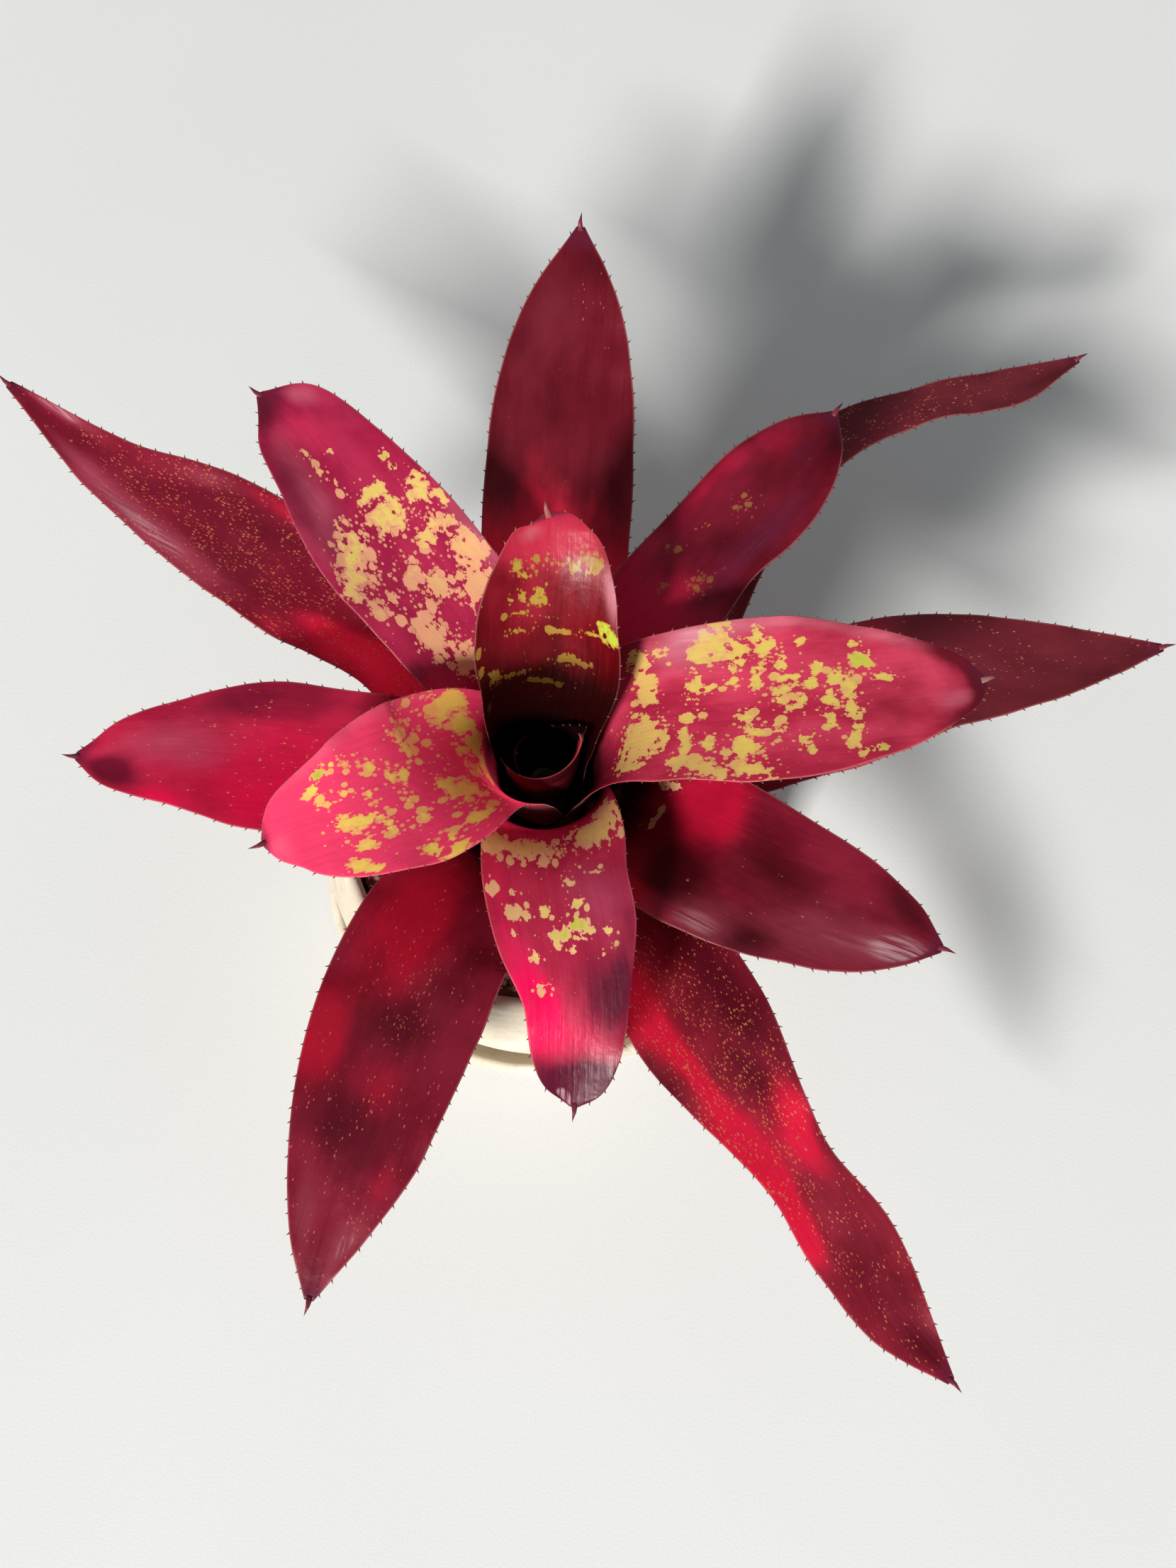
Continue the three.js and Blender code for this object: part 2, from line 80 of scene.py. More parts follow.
# Azimuth in degrees, throat (reach, height), rows of the blade as
# (reach, side, height, width), all in mm.
LEAVES = [
    dict(azimuth=173, throat=(9, 138), wrap=40, blade=[
        (9.3, 0, 143, 34), (9.6, 0, 147, 22), (10, 0, 151, 3)]),
    dict(azimuth=330, throat=(12.4, 150), wrap=56, blade=[
        (12.7, 0, 158, 50), (13, 0, 166, 36), (13.6, 0, 172, 4)]),
    dict(azimuth=86, throat=(15.8, 150), blade=[
        (21, -1.5, 170, 53), (31, -1.2, 187, 49.5), (44, -1.3, 202, 38.5), (52, -0.5, 209, 27),
        (55.5, 0, 211.6, 16), (57.5, 0.8, 213, 3)]),
    dict(azimuth=205, throat=(17.8, 147), wrap=48, blade=[
        (24, -2.1, 166, 51), (40, 1.8, 180, 56.5), (64, 3.6, 188, 46), (82, 1.5, 189, 28),
        (88.5, 1.3, 187.6, 16.5), (92.5, 1, 186.2, 3)]),
    dict(azimuth=6, throat=(19.9, 144), wrap=44, blade=[
        (28, 4.5, 162, 47), (48, 3, 175, 52), (78, -0.8, 184, 54.5), (108, -2.2, 186, 42),
        (130, -1.3, 184, 24.5), (138, -0.6, 182.3, 14), (142, 0, 181.2, 3)]),
    dict(azimuth=129, throat=(22.2, 141), blade=[
        (31, -4, 158, 48), (52, -4, 169, 48), (84, -2.2, 178, 49.5), (114, -3.3, 181, 39.5),
        (139, -4, 179, 27), (153, -1, 176, 3)]),
    dict(azimuth=276, throat=(22.8, 138), blade=[
        (30, 1, 154.5, 48), (45, 0.3, 163, 46), (64, 2.1, 165, 44.4), (84, 3, 160, 33.7),
        (102, 1, 151, 27.2), (110.5, 0, 146, 17), (115, -1, 143.6, 3)]),
    dict(azimuth=48, throat=(27.2, 134), blade=[
        (38, 1, 149, 44), (58, 3, 156, 41), (88, 4, 162, 37), (118, 3, 165, 38),
        (142, 4.4, 163, 25.7), (158, 6, 160, 3)]),
    dict(azimuth=181, throat=(29.5, 130), blade=[
        (41, 2, 144, 48), (62, 2.2, 151, 49.5), (92, 0.3, 154, 51.4), (120, -1.6, 154, 36.7),
        (142, -1.5, 151, 22), (155, -3, 148, 3)]),
    dict(azimuth=333, throat=(31.7, 126), blade=[
        (43, -2, 138, 56), (62, -4.5, 146, 56), (90, -5.4, 151, 50), (115, -3, 152, 38.7),
        (134, 0.5, 148, 21), (145, 2, 144, 3)]),
    dict(azimuth=85, throat=(33.8, 122), blade=[
        (45, 2.3, 134, 51), (64, 2.4, 143, 50.7), (96, 3.2, 152, 52), (130, 3.7, 163, 47.4),
        (160, 3.1, 172, 31.2), (183, 3, 180, 3)]),
    dict(azimuth=247, throat=(35.8, 118), blade=[
        (46, -6, 127, 50), (66, -9, 135, 54), (100, -8, 142, 54), (138, -3.8, 143, 43.5),
        (168, -0.9, 139, 23.3), (187, 2, 135, 3)]),
    dict(azimuth=12, throat=(37.6, 114), blade=[
        (48, 0, 123, 48), (68, 1, 130, 49), (104, 3, 136, 51), (140, 4.8, 138, 43),
        (182, 1.2, 135, 27.4), (222, 0, 130, 3)]),
    dict(azimuth=146, throat=(39.2, 110), blade=[
        (51, -7, 118, 40), (72, -11, 125, 37), (110, -9.5, 133, 44.5), (150, -7.9, 139, 40.5),
        (185, -4.4, 144, 24.6), (237, -9, 148, 3)]),
    dict(azimuth=304, throat=(40.6, 106), blade=[
        (54, 0.5, 113, 49), (74, -1.7, 119, 46.5), (106, -4.1, 125, 45.5), (140, -5.1, 127, 30.5),
        (158, -4.8, 124, 25.3), (185, -3.6, 118, 29.7), (212, -4.3, 112, 22.5), (238, -1, 107, 3)]),
    dict(azimuth=41, throat=(42, 101), blade=[
        (57, 4, 107, 40), (82, 12, 111, 32), (120, 25, 114, 24), (169, 31.9, 114, 19.8),
        (209, 21.2, 111, 15.5), (242, 6, 106, 16), (273, -1, 101, 3)]),
]

ROLLED_LEAVES = 2                   # the first ones, rolled up in the cup
ROW_STEPS = 18      # stations for each stretch between two rows
ACROSS = 44        # strips across a blade
TOOTH_SPACING = 5.6                 # along both margins
TOOTH_LENGTH = 1.1
TOOTH_WIDTH = 0.95
TOOTH_THICKNESS = 0.5
TOOTH_ROOT = 0.45                   # how far it starts inside the margin
TEETH_START = 0.08                  # where a blade's teeth begin, as a share of it
TEETH_END_MM = 2.0                  # how far from the margin's end they stop
TEETH_SEED = 100                    # added to the leaf's index
WAVE_SEED = 900
RIPPLES = ((46.0, 0.55), (27.0, 0.4), (15.0, 0.16))    # (length, size) of a margin's waves
SWELLS = 3
SWELL_SIZE = 0.14
HORN_MARK = (0, 0, 2)               # "kind" of a tooth: no margin, no way to the tip, 2


def smooth_step(x):
    t = np.clip(x, 0.0, 1.0)
    return t * t * (3 - 2 * t)


def unit(v):
    return v / np.maximum(np.linalg.norm(v, axis=-1, keepdims=True), 1e-9)


def run_of(line):
    """How far along the line each of its points lies."""
    return np.concatenate([[0], np.cumsum(np.linalg.norm(np.diff(line, axis=0), axis=1))])


# ---- meshes ----

def mesh_piece(name, points, faces):
    """A new smooth object at the origin from points in mm."""
    mesh = bpy.data.meshes.new(name)
    mesh.from_pydata((np.asarray(points) * MM).tolist(), [], faces)
    mesh.validate()
    mesh.update()
    mesh.polygons.foreach_set("use_smooth", [True] * len(mesh.polygons))
    piece = bpy.data.objects.new(name, mesh)
    bpy.context.collection.objects.link(piece)
    return piece


def add_attribute(piece, name, values):
    """A vector for each vertex, read by the materials."""
    layer = piece.data.attributes.new(name, "FLOAT_VECTOR", "POINT")
    layer.data.foreach_set("vector", np.asarray(values, dtype=np.float32).ravel())


def set_up(piece, node, material):
    piece.data.materials.append(material)
    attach(piece, "root")
    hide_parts(node)


# ---- leaf shapes ----

def stem_radius(height):
    t = min(max((height - STEM_TAPER_Z) / (STEM_TOP_Z - STEM_TAPER_Z), 0.0), 1.0)
    return STEM_RADIUS + (STEM_TOP_RADIUS - STEM_RADIUS) * t


def leaf_rows(leaf, index):
    """Rows (x, y, z, width) from the leaf's base on the stem to its tip."""
    base_z = FIRST_LEAF_Z - LEAF_STEP_Z * index
    base_reach = stem_radius(base_z) + LEAF_BASE_OFFSET
    throat_reach, throat_z = leaf["throat"]
    middle_reach = base_reach + 0.6 * (throat_reach - base_reach)
    middle_z = base_z + 0.18 * (throat_z - base_z)
    rows = [
        (base_reach, 0, base_z, SHEATH_BASE_WIDTH * min(1, base_reach / 13 + 0.1)),
        (middle_reach, 0, middle_z, SHEATH_MIDDLE_WIDTH * min(1, middle_reach / 15 + 0.1)),
        (throat_reach, 0, throat_z, leaf.get("wrap", SHEATH_TOP_WIDTH)),
    ] + list(leaf["blade"])
    a = math.radians(leaf["azimuth"])
    return np.array([
        (ROSETTE_X + reach * math.cos(a) - side * math.sin(a),
         reach * math.sin(a) + side * math.cos(a), height, width)
        for reach, side, height, width in rows])


def leaf_stations(rows, steps):
    """Points, widths and the share along (-1 base, 0 throat, 1 tip)."""
    last = len(rows) - 1
    padded = np.vstack([2 * rows[0] - rows[1], rows, 2 * rows[last] - rows[last - 1]])
    found, along = [], []
    for i in range(last):
        a, b, c, d = padded[i:i + 4]
        before, here, after = (
            math.sqrt(np.linalg.norm(q[:3] - p[:3])) for p, q in ((a, b), (b, c), (c, d)))
        leave = ((b - a) / before - (c - a) / (before + here) + (c - b) / here) * here
        arrive = ((c - b) / here - (d - b) / (here + after) + (d - c) / after) * here
        for k in range(steps + (i == last - 1)):
            t = k / steps
            found.append(
                b + leave * t + (3 * (c - b) - 2 * leave - arrive) * t * t
                + (2 * (b - c) + leave + arrive) * t ** 3)
            row = i + t
            along.append(row / 2 - 1 if row < 2 else (row - 2) / (last - 2))
    found = np.array(found)
    return found[:, :3], found[:, 3], np.array(along)


def leaf_frames(leaf, points, along):
    """Along, left and up directions and the bend across, at each station."""
    a = math.radians(leaf["azimuth"])
    outward = np.array([math.cos(a), math.sin(a), 0.0])
    ahead = np.vstack([points[1:], points[-1:]])
    behind = np.vstack([points[:1], points[:-1]])
    forward = unit(ahead - behind)
    flat = unit(forward * (1, 1, 0))
    share = smooth_step(along / FREE_HEADING)[:, None]
    heading = flat * share + outward * (1 - share)
    left = unit(np.stack([-heading[:, 1], heading[:, 0], 0 * heading[:, 0]], axis=1))
    up = unit(np.cross(forward, left))
    left = np.cross(up, forward)
    steepness = np.maximum(forward[:, 2], 0)
    reach = np.hypot(points[:, 0] - ROSETTE_X, points[:, 1])
    q = np.maximum(along, 0)
    curl = BLADE_CURL * q + TIP_CURL * smooth_step((q - 0.75) / 0.25)
    return forward, left, up, np.maximum(steepness / reach + curl, 1e-5)


def waves(index, travelled, across, along):
    """Small swells and margin ripples of the blade, in mm, none in the sheath."""
    rng = np.random.default_rng(WAVE_SEED + index)
    ripple = np.zeros((len(travelled), len(across)))
    for length, size in RIPPLES:
        for side in (-1, 1):
            phase = rng.uniform(0, 2 * math.pi)
            wave = np.sin(2 * math.pi * travelled / length + phase)[:, None]
            ripple += size * wave * np.clip(side * across, 0, 1) ** 2
    for _ in range(SWELLS):
        phase = rng.uniform(0, 2 * math.pi)
        slant = rng.uniform(-1.5, 1.5)
        turn = 2 * math.pi * travelled[:, None] / rng.uniform(30, 60) + slant * across
        ripple += SWELL_SIZE * np.sin(turn + phase)
    fade = smooth_step(along / 0.3) * (1 - 0.8 * smooth_step((along - 0.9) / 0.1))
    return ripple * fade[:, None]


def add_cone(points, faces, root, tip, side, lift, width, height, sides=5):
    """A small curved tooth from root to tip; side and lift span its section."""
    first = len(points)
    middle = root + (tip - root) * 0.5 + side * width * 0.12
    for centre, share in ((root, 1.0), (middle, 0.55)):
        for k in range(sides):
            turn = 2 * math.pi * k / sides
            points.append(centre + side * (math.cos(turn) * width / 2 * share)
                          + lift * (math.sin(turn) * height / 2 * share))
    points.append(tip)
    top = first + 2 * sides
    for k in range(sides):
        n = (k + 1) % sides
        faces.append((first + k, first + n, first + sides + n, first + sides + k))
        faces.append((first + sides + k, first + sides + n, top))
    faces.append(tuple(first + k for k in reversed(range(sides))))


def grid_faces(rows, cols):
    """Upper face, under face and rim of a leaf, for points in rows of cols."""
    count = rows * cols
    faces = []

    def rim(a, b, turned_round):
        face = (a, b, count + b, count + a)
        faces.append(face[:1] + face[:0:-1] if turned_round else face)

    for i in range(rows - 1):
        row, after = i * cols, (i + 1) * cols
        for j in range(cols - 1):
            a, b, c, d = row + j, after + j, after + j + 1, row + j + 1
            faces.append((a, b, c, d))
            faces.append((count + a, count + d, count + c, count + b))
        rim(row, after, True)
        rim(row + cols - 1, after + cols - 1, False)
    for j in range(cols - 1):
        rim(j, j + 1, False)
        rim(count - cols + j, count - cols + j + 1, True)
    return faces


def add_margin_teeth(points, faces, line, inner, start, rng):
    """Teeth at nearly even steps along a margin, leaning towards its end."""
    length = run_of(line)

    def at(distance, path):
        return np.array([np.interp(distance, length, path[:, k]) for k in range(3)])

    due = start + rng.uniform(0, TOOTH_SPACING)
    while due < length[-1] - TEETH_END_MM:
        root, inside = at(due, line), at(due, inner)
        tangent = unit(at(due + 0.8, line) - root)
        outward = root - inside
        outward = unit(outward - tangent * np.dot(outward, tangent))
        lift = np.cross(tangent, outward)
        size = TOOTH_LENGTH * rng.uniform(0.7, 1.15)
        size *= 0.5 + 0.5 * min((due - start) / 30, 1)
        peak = root + outward * size + tangent * size * 0.8
        add_cone(points, faces, root - outward * TOOTH_ROOT, peak, tangent, lift,
                 TOOTH_WIDTH, TOOTH_THICKNESS)
        due += TOOTH_SPACING * rng.uniform(0.75, 1.25)


def finish_leaf(index, points, faces, place, kind, material):
    """The object with its attributes and paint, put in its node's place.

    place is (across, along, leaf), kind is (way to the margin, way to the tip,
    1 on the upper face, 0 under it, 2 on horn), both given for the upper face."""
    place, kind = (np.stack(each, axis=-1).reshape(-1, 3) for each in (place, kind))
    place, kind = np.vstack([place, place]), np.vstack([kind, kind * (1, 1, 0)])
    horn = len(points) - len(kind)
    kind = np.vstack([kind, np.tile(HORN_MARK, (horn, 1))])
    place = np.vstack([place, np.tile(place[-1], (horn, 1))])
    number = index + 1
    piece = mesh_piece(f"fine_leaf_{number:02d}", points, faces)
    add_attribute(piece, "place", place)
    add_attribute(piece, "kind", kind)
    paint_leaf(piece, number, place, kind)
    set_up(piece, f"leaf_{number:02d}", material)


def make_leaf(index, leaf, material):
    centre, width, along = leaf_stations(leaf_rows(leaf, index), ROW_STEPS)
    forward, left, up, bend = leaf_frames(leaf, centre, along)
    travelled = run_of(centre)
    travelled -= travelled[np.argmin(np.abs(along))]
    # narrower strips towards the margins
    across = np.sin(np.linspace(-1, 1, ACROSS + 1) * math.pi / 2 * 0.92)
    across /= across[-1]
    ripple = waves(index, travelled, across, along)
    offset = across * width[:, None] / 2

    taper = smooth_step((along - 0.8) / 0.2)
    thick = LEAF_THICKNESS + (TIP_THICKNESS - LEAF_THICKNESS) * taper
    half = thick[:, None] / 2 * (0.3 + 0.7 * np.sqrt(1 - np.abs(across) ** 6))
    turn = bend[:, None] * offset

    def surface(lift):
        sideways = np.sin(turn) / bend[:, None] - np.sin(turn) * lift
        upward = (1 - np.cos(turn)) / bend[:, None] + np.cos(turn) * lift
        return (centre[:, None] + left[:, None] * sideways[..., None]
                + up[:, None] * upward[..., None])

    top, under, middle = surface(ripple + half), surface(ripple - half), surface(ripple)
    rows_n, cols_n = offset.shape
    points = list(top.reshape(-1, 3)) + list(under.reshape(-1, 3))
    faces = grid_faces(rows_n, cols_n)

    # the horn-like spine at the tip, turned up a little
    base = middle[-1, cols_n // 2] - forward[-1] * 1.5
    tip = base + forward[-1] * (SPINE_LENGTH + 1.2) + up[-1] * 1.6
    add_cone(points, faces, base, tip, left[-1], up[-1], width[-1] * 0.8, 1.1, sides=8)

    rng = np.random.default_rng(TEETH_SEED + index)
    for edge, next_in in ((0, 2), (cols_n - 1, cols_n - 3)):
        line = middle[:, edge]
        start = np.interp(TEETH_START, along, run_of(line))
        add_margin_teeth(points, faces, line, middle[:, next_in], start, rng)

    ones = np.ones_like(offset)
    margin = width[:, None] / 2 - np.abs(offset)
    to_tip = (travelled[-1] - travelled)[:, None] * ones
    finish_leaf(index, points, faces, (offset, travelled[:, None] * ones, ones * index),
                (margin, to_tip, ones), material)


# Rim of the rolled leaf in the cup: (degrees around the cup, height in mm)
RIM = [(-172, 150), (-166, 158), (-155, 163), (-118, 166.5), (-60, 169.5), (-20, 171.3),
       (-3, 173.5), (6, 170.5), (20, 163), (45, 154), (70, 147), (90, 140)]
# Its radius: (height, radius)
ROLL = [(114, 6.9), (121, 8.6), (132, 10.6), (146, 12.0), (160, 12.6), (176, 12.9)]
# The innermost leaf: its rim lies lower
RIM_INNER = [(50, 132), (75, 141), (120, 147), (173, 150.5), (225, 147), (265, 141), (292, 132)]
ROLL_INNER = [(116, 6.0), (124, 7.0), (140, 8.6), (152, 9.1)]


def make_rolled(index, rim, roll, material):
    """A young leaf rolled round the cup, as a wall under a rim. Leaf 2 flares
    open on one side."""
    rows_n, cols_n = ((44, 120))
    turn = np.radians(np.linspace(rim[0][0], rim[-1][0], cols_n))
    top_z = np.interp(turn, np.radians([r[0] for r in rim]), [r[1] for r in rim])
    top_z = np.convolve(np.pad(top_z, 4, mode="edge"), np.ones(9) / 9, "valid")
    share = np.linspace(0, 1, rows_n)[:, None] ** 0.8
    z = roll[0][0] + share * (top_z - roll[0][0])
    radius = np.interp(z, [r[0] for r in roll], [r[1] for r in roll])
    if index == 1:
        open_side = smooth_step((np.degrees(turn) + 8) / 40)
        radius = radius + 4.2 * open_side * smooth_step((z - 152) / 16)
        radius = radius + 0.9 * smooth_step((z - top_z + 3.5) / 3.5) * (1 - open_side)
    half = LEAF_THICKNESS / 2 * (0.35 + 0.65 * smooth_step((top_z - z) / 1.2))

    def wall(lift):
        r = radius + lift
        return np.stack([ROSETTE_X + r * np.cos(turn), r * np.sin(turn), z], axis=-1)

    inner, outer = wall(-half), wall(half)
    points = list(inner.reshape(-1, 3)) + list(outer.reshape(-1, 3))
    faces = [face[::-1] for face in grid_faces(rows_n, cols_n)]
    peak = int(np.argmax(top_z))
    root = (inner[-1, peak] + outer[-1, peak]) / 2
    around = np.array([-math.sin(turn[peak]), math.cos(turn[peak]), 0])
    inward = np.array([-math.cos(turn[peak]), -math.sin(turn[peak]), 0])
    up = np.array([0.0, 0.0, 1.0])
    add_cone(points, faces, root - up * 1.2, root + up * 1.9 + inward * 1.4 + around * 0.8,
             around, inward, 2.6, 1.0, sides=8)
    line, below = (inner[-1] + outer[-1]) / 2, (inner[-3] + outer[-3]) / 2
    add_margin_teeth(points, faces, line, below, 3, np.random.default_rng(TEETH_SEED + index))

    ones = np.ones_like(z)
    margin = np.minimum(top_z - z, 30)
    finish_leaf(index, points, faces, (radius * turn, z - 100, ones * index),
                (margin, 30 + margin, ones), material)


# ---- materials ----

class Nodes:
    """A short way to write a material's nodes."""

    def __init__(self, name):
        self.material = bpy.data.materials.new(name)
        self.material.use_nodes = True
        self.tree = self.material.node_tree
        self.tree.nodes.clear()
        self.output = self.tree.nodes.new("ShaderNodeOutputMaterial")
        self.shader = self.tree.nodes.new("ShaderNodeBsdfPrincipled")
        self.tree.links.new(self.shader.outputs[0], self.output.inputs[0])

    def put(self, socket, value):
        if isinstance(value, bpy.types.NodeSocket):
            self.tree.links.new(value, socket)
        elif value is not None:
            if socket.type == "RGBA" and len(value) == 3:
                value = (*value, 1.0)
            socket.default_value = value

    def new(self, kind, inputs=(), **settings):
        """The outputs of a new node; inputs are (name or number, value)."""
        node = self.tree.nodes.new("ShaderNode" + kind)
        for name, value in settings.items():
            setattr(node, name, value)
        for key, value in inputs:
            self.put(node.inputs[key], value)
        return node.outputs

    def math(self, operation, a, b=None, c=None, clamp=False):
        return self.new("Math", enumerate((a, b, c)), operation=operation, use_clamp=clamp)[0]

    times = partialmethod(math, "MULTIPLY")
    plus = partialmethod(math, "ADD")
    minus = partialmethod(math, "SUBTRACT")
    scale_add = partialmethod(math, "MULTIPLY_ADD")

    def vector(self, x, y, z):
        return self.new("CombineXYZ", enumerate((x, y, z)))[0]

    def split(self, vector):
        return self.new("SeparateXYZ", [(0, vector)])

    def attribute(self, name):
        return self.new("Attribute", attribute_name=name)["Vector"]

    def object_place(self):
        return self.new("TexCoord")["Object"]

    def noise(self, vector, scale, detail=2.0, rough=0.5):
        return self.new("TexNoise", [("Vector", vector), ("Scale", scale), ("Detail", detail),
                                     ("Roughness", rough)])[0]

    def voronoi(self, vector, scale):
        outputs = self.new("TexVoronoi", [("Vector", vector), ("Scale", scale)])
        return outputs["Distance"], outputs["Color"]

    def ramp(self, value, low, high):
        """0 at low, 1 at high, smooth between, level beyond."""
        return self.new("MapRange", [("Value", value), ("From Min", low), ("From Max", high)],
                        interpolation_type="SMOOTHSTEP")[0]

    def mix(self, share, a, b):
        """From colour a to colour b."""
        return self.new("Mix", [("Factor", share), (6, a), (7, b)], data_type="RGBA",
                        clamp_factor=True)[2]

    def bump(self, height, distance, strength=1.0, normal=None):
        return self.new("Bump", [("Strength", strength), ("Distance", distance),
                                 ("Height", height), ("Normal", normal)])[0]

    def blend(self, share, other):
        """Mixes another shader into the Principled one."""
        mixed = self.new("MixShader", [(0, share), (1, self.shader.outputs[0]), (2, other)])
        self.put(self.output.inputs[0], mixed[0])

    def dress(self, colour, rough, normal):
        """Gives the shader its colour, roughness and bump."""
        for name, value in (("Base Color", colour), ("Roughness", rough), ("Normal", normal)):
            self.put(self.shader.inputs[name], value)
        return self.material


# The usual colours of a leaf's spots, underside and teeth, in thousandths.
TAN = (820, 460, 230)
YELLOW = (840, 640, 160)
LIME = (480, 580, 50)
UNDER = ((160, 45, 45), (260, 120, 100))
INNER_BACK = ((55, 3, 7), (120, 7, 14))
HORN = (160, 22, 35)
LEAF_SPECULAR = 0.16


def shade(colour):
    return tuple(part / 1000 for part in colour)


def leaf_material(name, base, light, dark, glow_colour, sheen, flecks, spots=1.0, mark=0.92, thin=0.15,
                  tip=9.0, rim=0.6, tan=TAN, yellow=YELLOW, under=UNDER, glow=0.14, back=0.5,
                  horn=HORN):
    """A leaf's material. Its colours, in thousandths: base, light and dark
    ground, the dark one also for painted shade, the colour of the painted glow
    of light shining through the leaf, the colour of the painted sheen, tan and
    yellow for spots, under for the back, horn for spine and teeth. Its amounts:
    flecks is how dense the fine dashes are, spots how large the scattered dots,
    mark how strong both and the patches, thin how much smaller the patches, tip
    how many mm the dark tip reaches, rim how pale the margin, glow and back how
    much light the upper and the lower face let through."""
    base, light, dark, glow_colour, sheen = map(shade, (base, light, dark, glow_colour, sheen))
    tan, yellow, horn = map(shade, (tan, yellow, horn))
    n = Nodes(name)
    across, along, seed_number = n.split(n.attribute("place"))
    margin, to_tip, face = n.split(n.attribute("kind"))
    blob, dots, shade_and_dark = n.split(n.attribute("paint"))
    painted_glow, lime, sheen_amount = n.split(n.attribute("tone"))
    clear = n.split(n.attribute("clear"))[0]
    seed = n.times(seed_number, 37.0)
    flat = n.vector(across, along, seed)
    stretched = n.vector(across, n.times(along, 0.7), seed)

    # ground: clouds, painted shade, a painted glow, a painted sheen and lengthwise lines
    clouds = n.noise(n.vector(across, n.times(along, 0.5), seed), 0.06, 3, 0.55)
    cloud = n.minus(clouds, 0.5)
    ground = n.mix(n.ramp(clouds, 0.38, 0.66), base, light)
    # painted glow of light shining through the leaf, in its glow colour
    ground = n.mix(n.ramp(n.scale_add(cloud, 0.9, painted_glow), 0.12, 0.95), ground, glow_colour)
    # painted sheen, in the sheen colour
    sheen_share = n.ramp(n.scale_add(cloud, 0.9, sheen_amount), 0.15, 1.3)
    ground = n.mix(n.times(sheen_share, 0.8), ground, sheen)
    long_grain = n.vector(across, n.times(along, 0.035), seed)
    lines = n.noise(long_grain, 0.9, 4, 0.7)
    ground = n.mix(n.times(n.ramp(lines, 0.50, 0.75), 0.35), ground, light)
    ground = n.mix(n.times(n.ramp(lines, 0.50, 0.28), 0.14), ground, dark)
    # darker in the leaf's own dark clouds and in painted shade
    ground = n.mix(n.ramp(n.scale_add(cloud, -1.1, shade_and_dark), 0.0, 1.1), ground, dark)

    # blotches: the painted patches with ragged edges, then scattered dots
    ragged = n.minus(n.noise(stretched, 0.40, 3, 0.55), 0.5)
    fine = n.minus(n.noise(stretched, 1.5, 2, 0.5), 0.5)
    edge = n.scale_add(ragged, 2.6, n.minus(blob, thin))
    edge = n.scale_add(fine, 0.45, edge)
    patch = n.ramp(edge, -0.03, 0.05)
    hole_far, hole_cell = n.voronoi(stretched, 0.42)
    hole = n.scale_add(n.split(hole_cell)[0], -1.1, 0.45)
    patch = n.times(patch, n.ramp(n.minus(hole, hole_far), 0.08, -0.02))
    far, cell = n.voronoi(stretched, 0.27)
    near = n.times(n.ramp(blob, -1.4, -0.1), 0.55 * min(spots, 1))
    scatter = n.scale_add(dots, spots, near)
    size = n.scale_add(n.split(cell)[0], -0.95, scatter)
    wobble = n.scale_add(fine, 0.25, n.times(size, 0.46))
    dot = n.ramp(n.minus(wobble, far), -0.02, 0.05)
    far2, cell2 = n.voronoi(stretched, 0.72)
    size2 = n.scale_add(n.split(cell2)[1], -1.0, scatter)
    speck = n.ramp(n.minus(n.times(size2, 0.45), far2), -0.04, 0.06)
    blotch = n.math("MAXIMUM", patch, n.math("MAXIMUM", dot, n.times(speck, 0.8)))
    core = n.ramp(n.plus(edge, n.times(cloud, 0.8)), -0.05, 0.55)
    spot = n.mix(n.times(core, n.ramp(lime, -0.1, 0.5)), tan, yellow)
    spot = n.mix(n.times(n.ramp(lime, 0.5, 1.1), core), spot, shade(LIME))
    # spots turn dark brown where painted shade lies
    spot = n.mix(n.times(n.ramp(shade_and_dark, 0.2, 1.0), 0.92), spot, (0.035, 0.016, 0.002))
    colour = n.mix(n.times(blotch, mark), ground, spot)

    # dashes: fine pink and golden flecks along the grain
    dash_place = n.vector(across, n.times(along, 0.42), seed)
    dash_far, dash_cell = n.voronoi(dash_place, 1.6)
    pick = n.split(dash_cell)
    drift = n.ramp(n.noise(stretched, 0.11, 2), 0.36, 0.62)
    amount = n.times(n.scale_add(drift, flecks * 1.5, flecks * 0.2), n.plus(dots, 0.25))
    chosen = n.ramp(n.minus(amount, pick[0]), 0.0, 0.1)
    dash_size = n.scale_add(pick[1], 0.38, 0.04)
    dash = n.times(chosen, n.ramp(n.minus(dash_size, dash_far), -0.07, 0.07))
    fleck_colour = n.mix(pick[2], (0.60, 0.10, 0.12), (0.66, 0.24, 0.06))
    colour = n.mix(n.times(dash, 0.72), colour, fleck_colour)

    # the pale margin, which fades in painted shade, painted shade deep in the cup, the dark tip,
    #     painted highlight streaks, the dull underside and the horn of teeth
    pale = n.times(n.ramp(margin, 0.6, 0.15), n.times(n.ramp(along, 8.0, 45.0), rim))
    pale = n.times(pale, n.ramp(shade_and_dark, 0.9, 0.2))
    colour = n.mix(pale, colour, tuple(np.add(light, (0.60, 0.24, 0.20)) / 2))
    # painted shade: near black from just past the throat down into the cup
    inside = n.scale_add(cloud, 10.0, along)
    colour = n.mix(n.times(n.ramp(inside, 13.0, -3.0), 0.95), colour, (0.008, 0.001, 0.001))
    tip_dark = n.ramp(n.scale_add(cloud, tip * 1.3, to_tip), tip, tip * 0.15)
    colour = n.mix(n.times(tip_dark, 0.75), colour, (0.10, 0.010, 0.032))
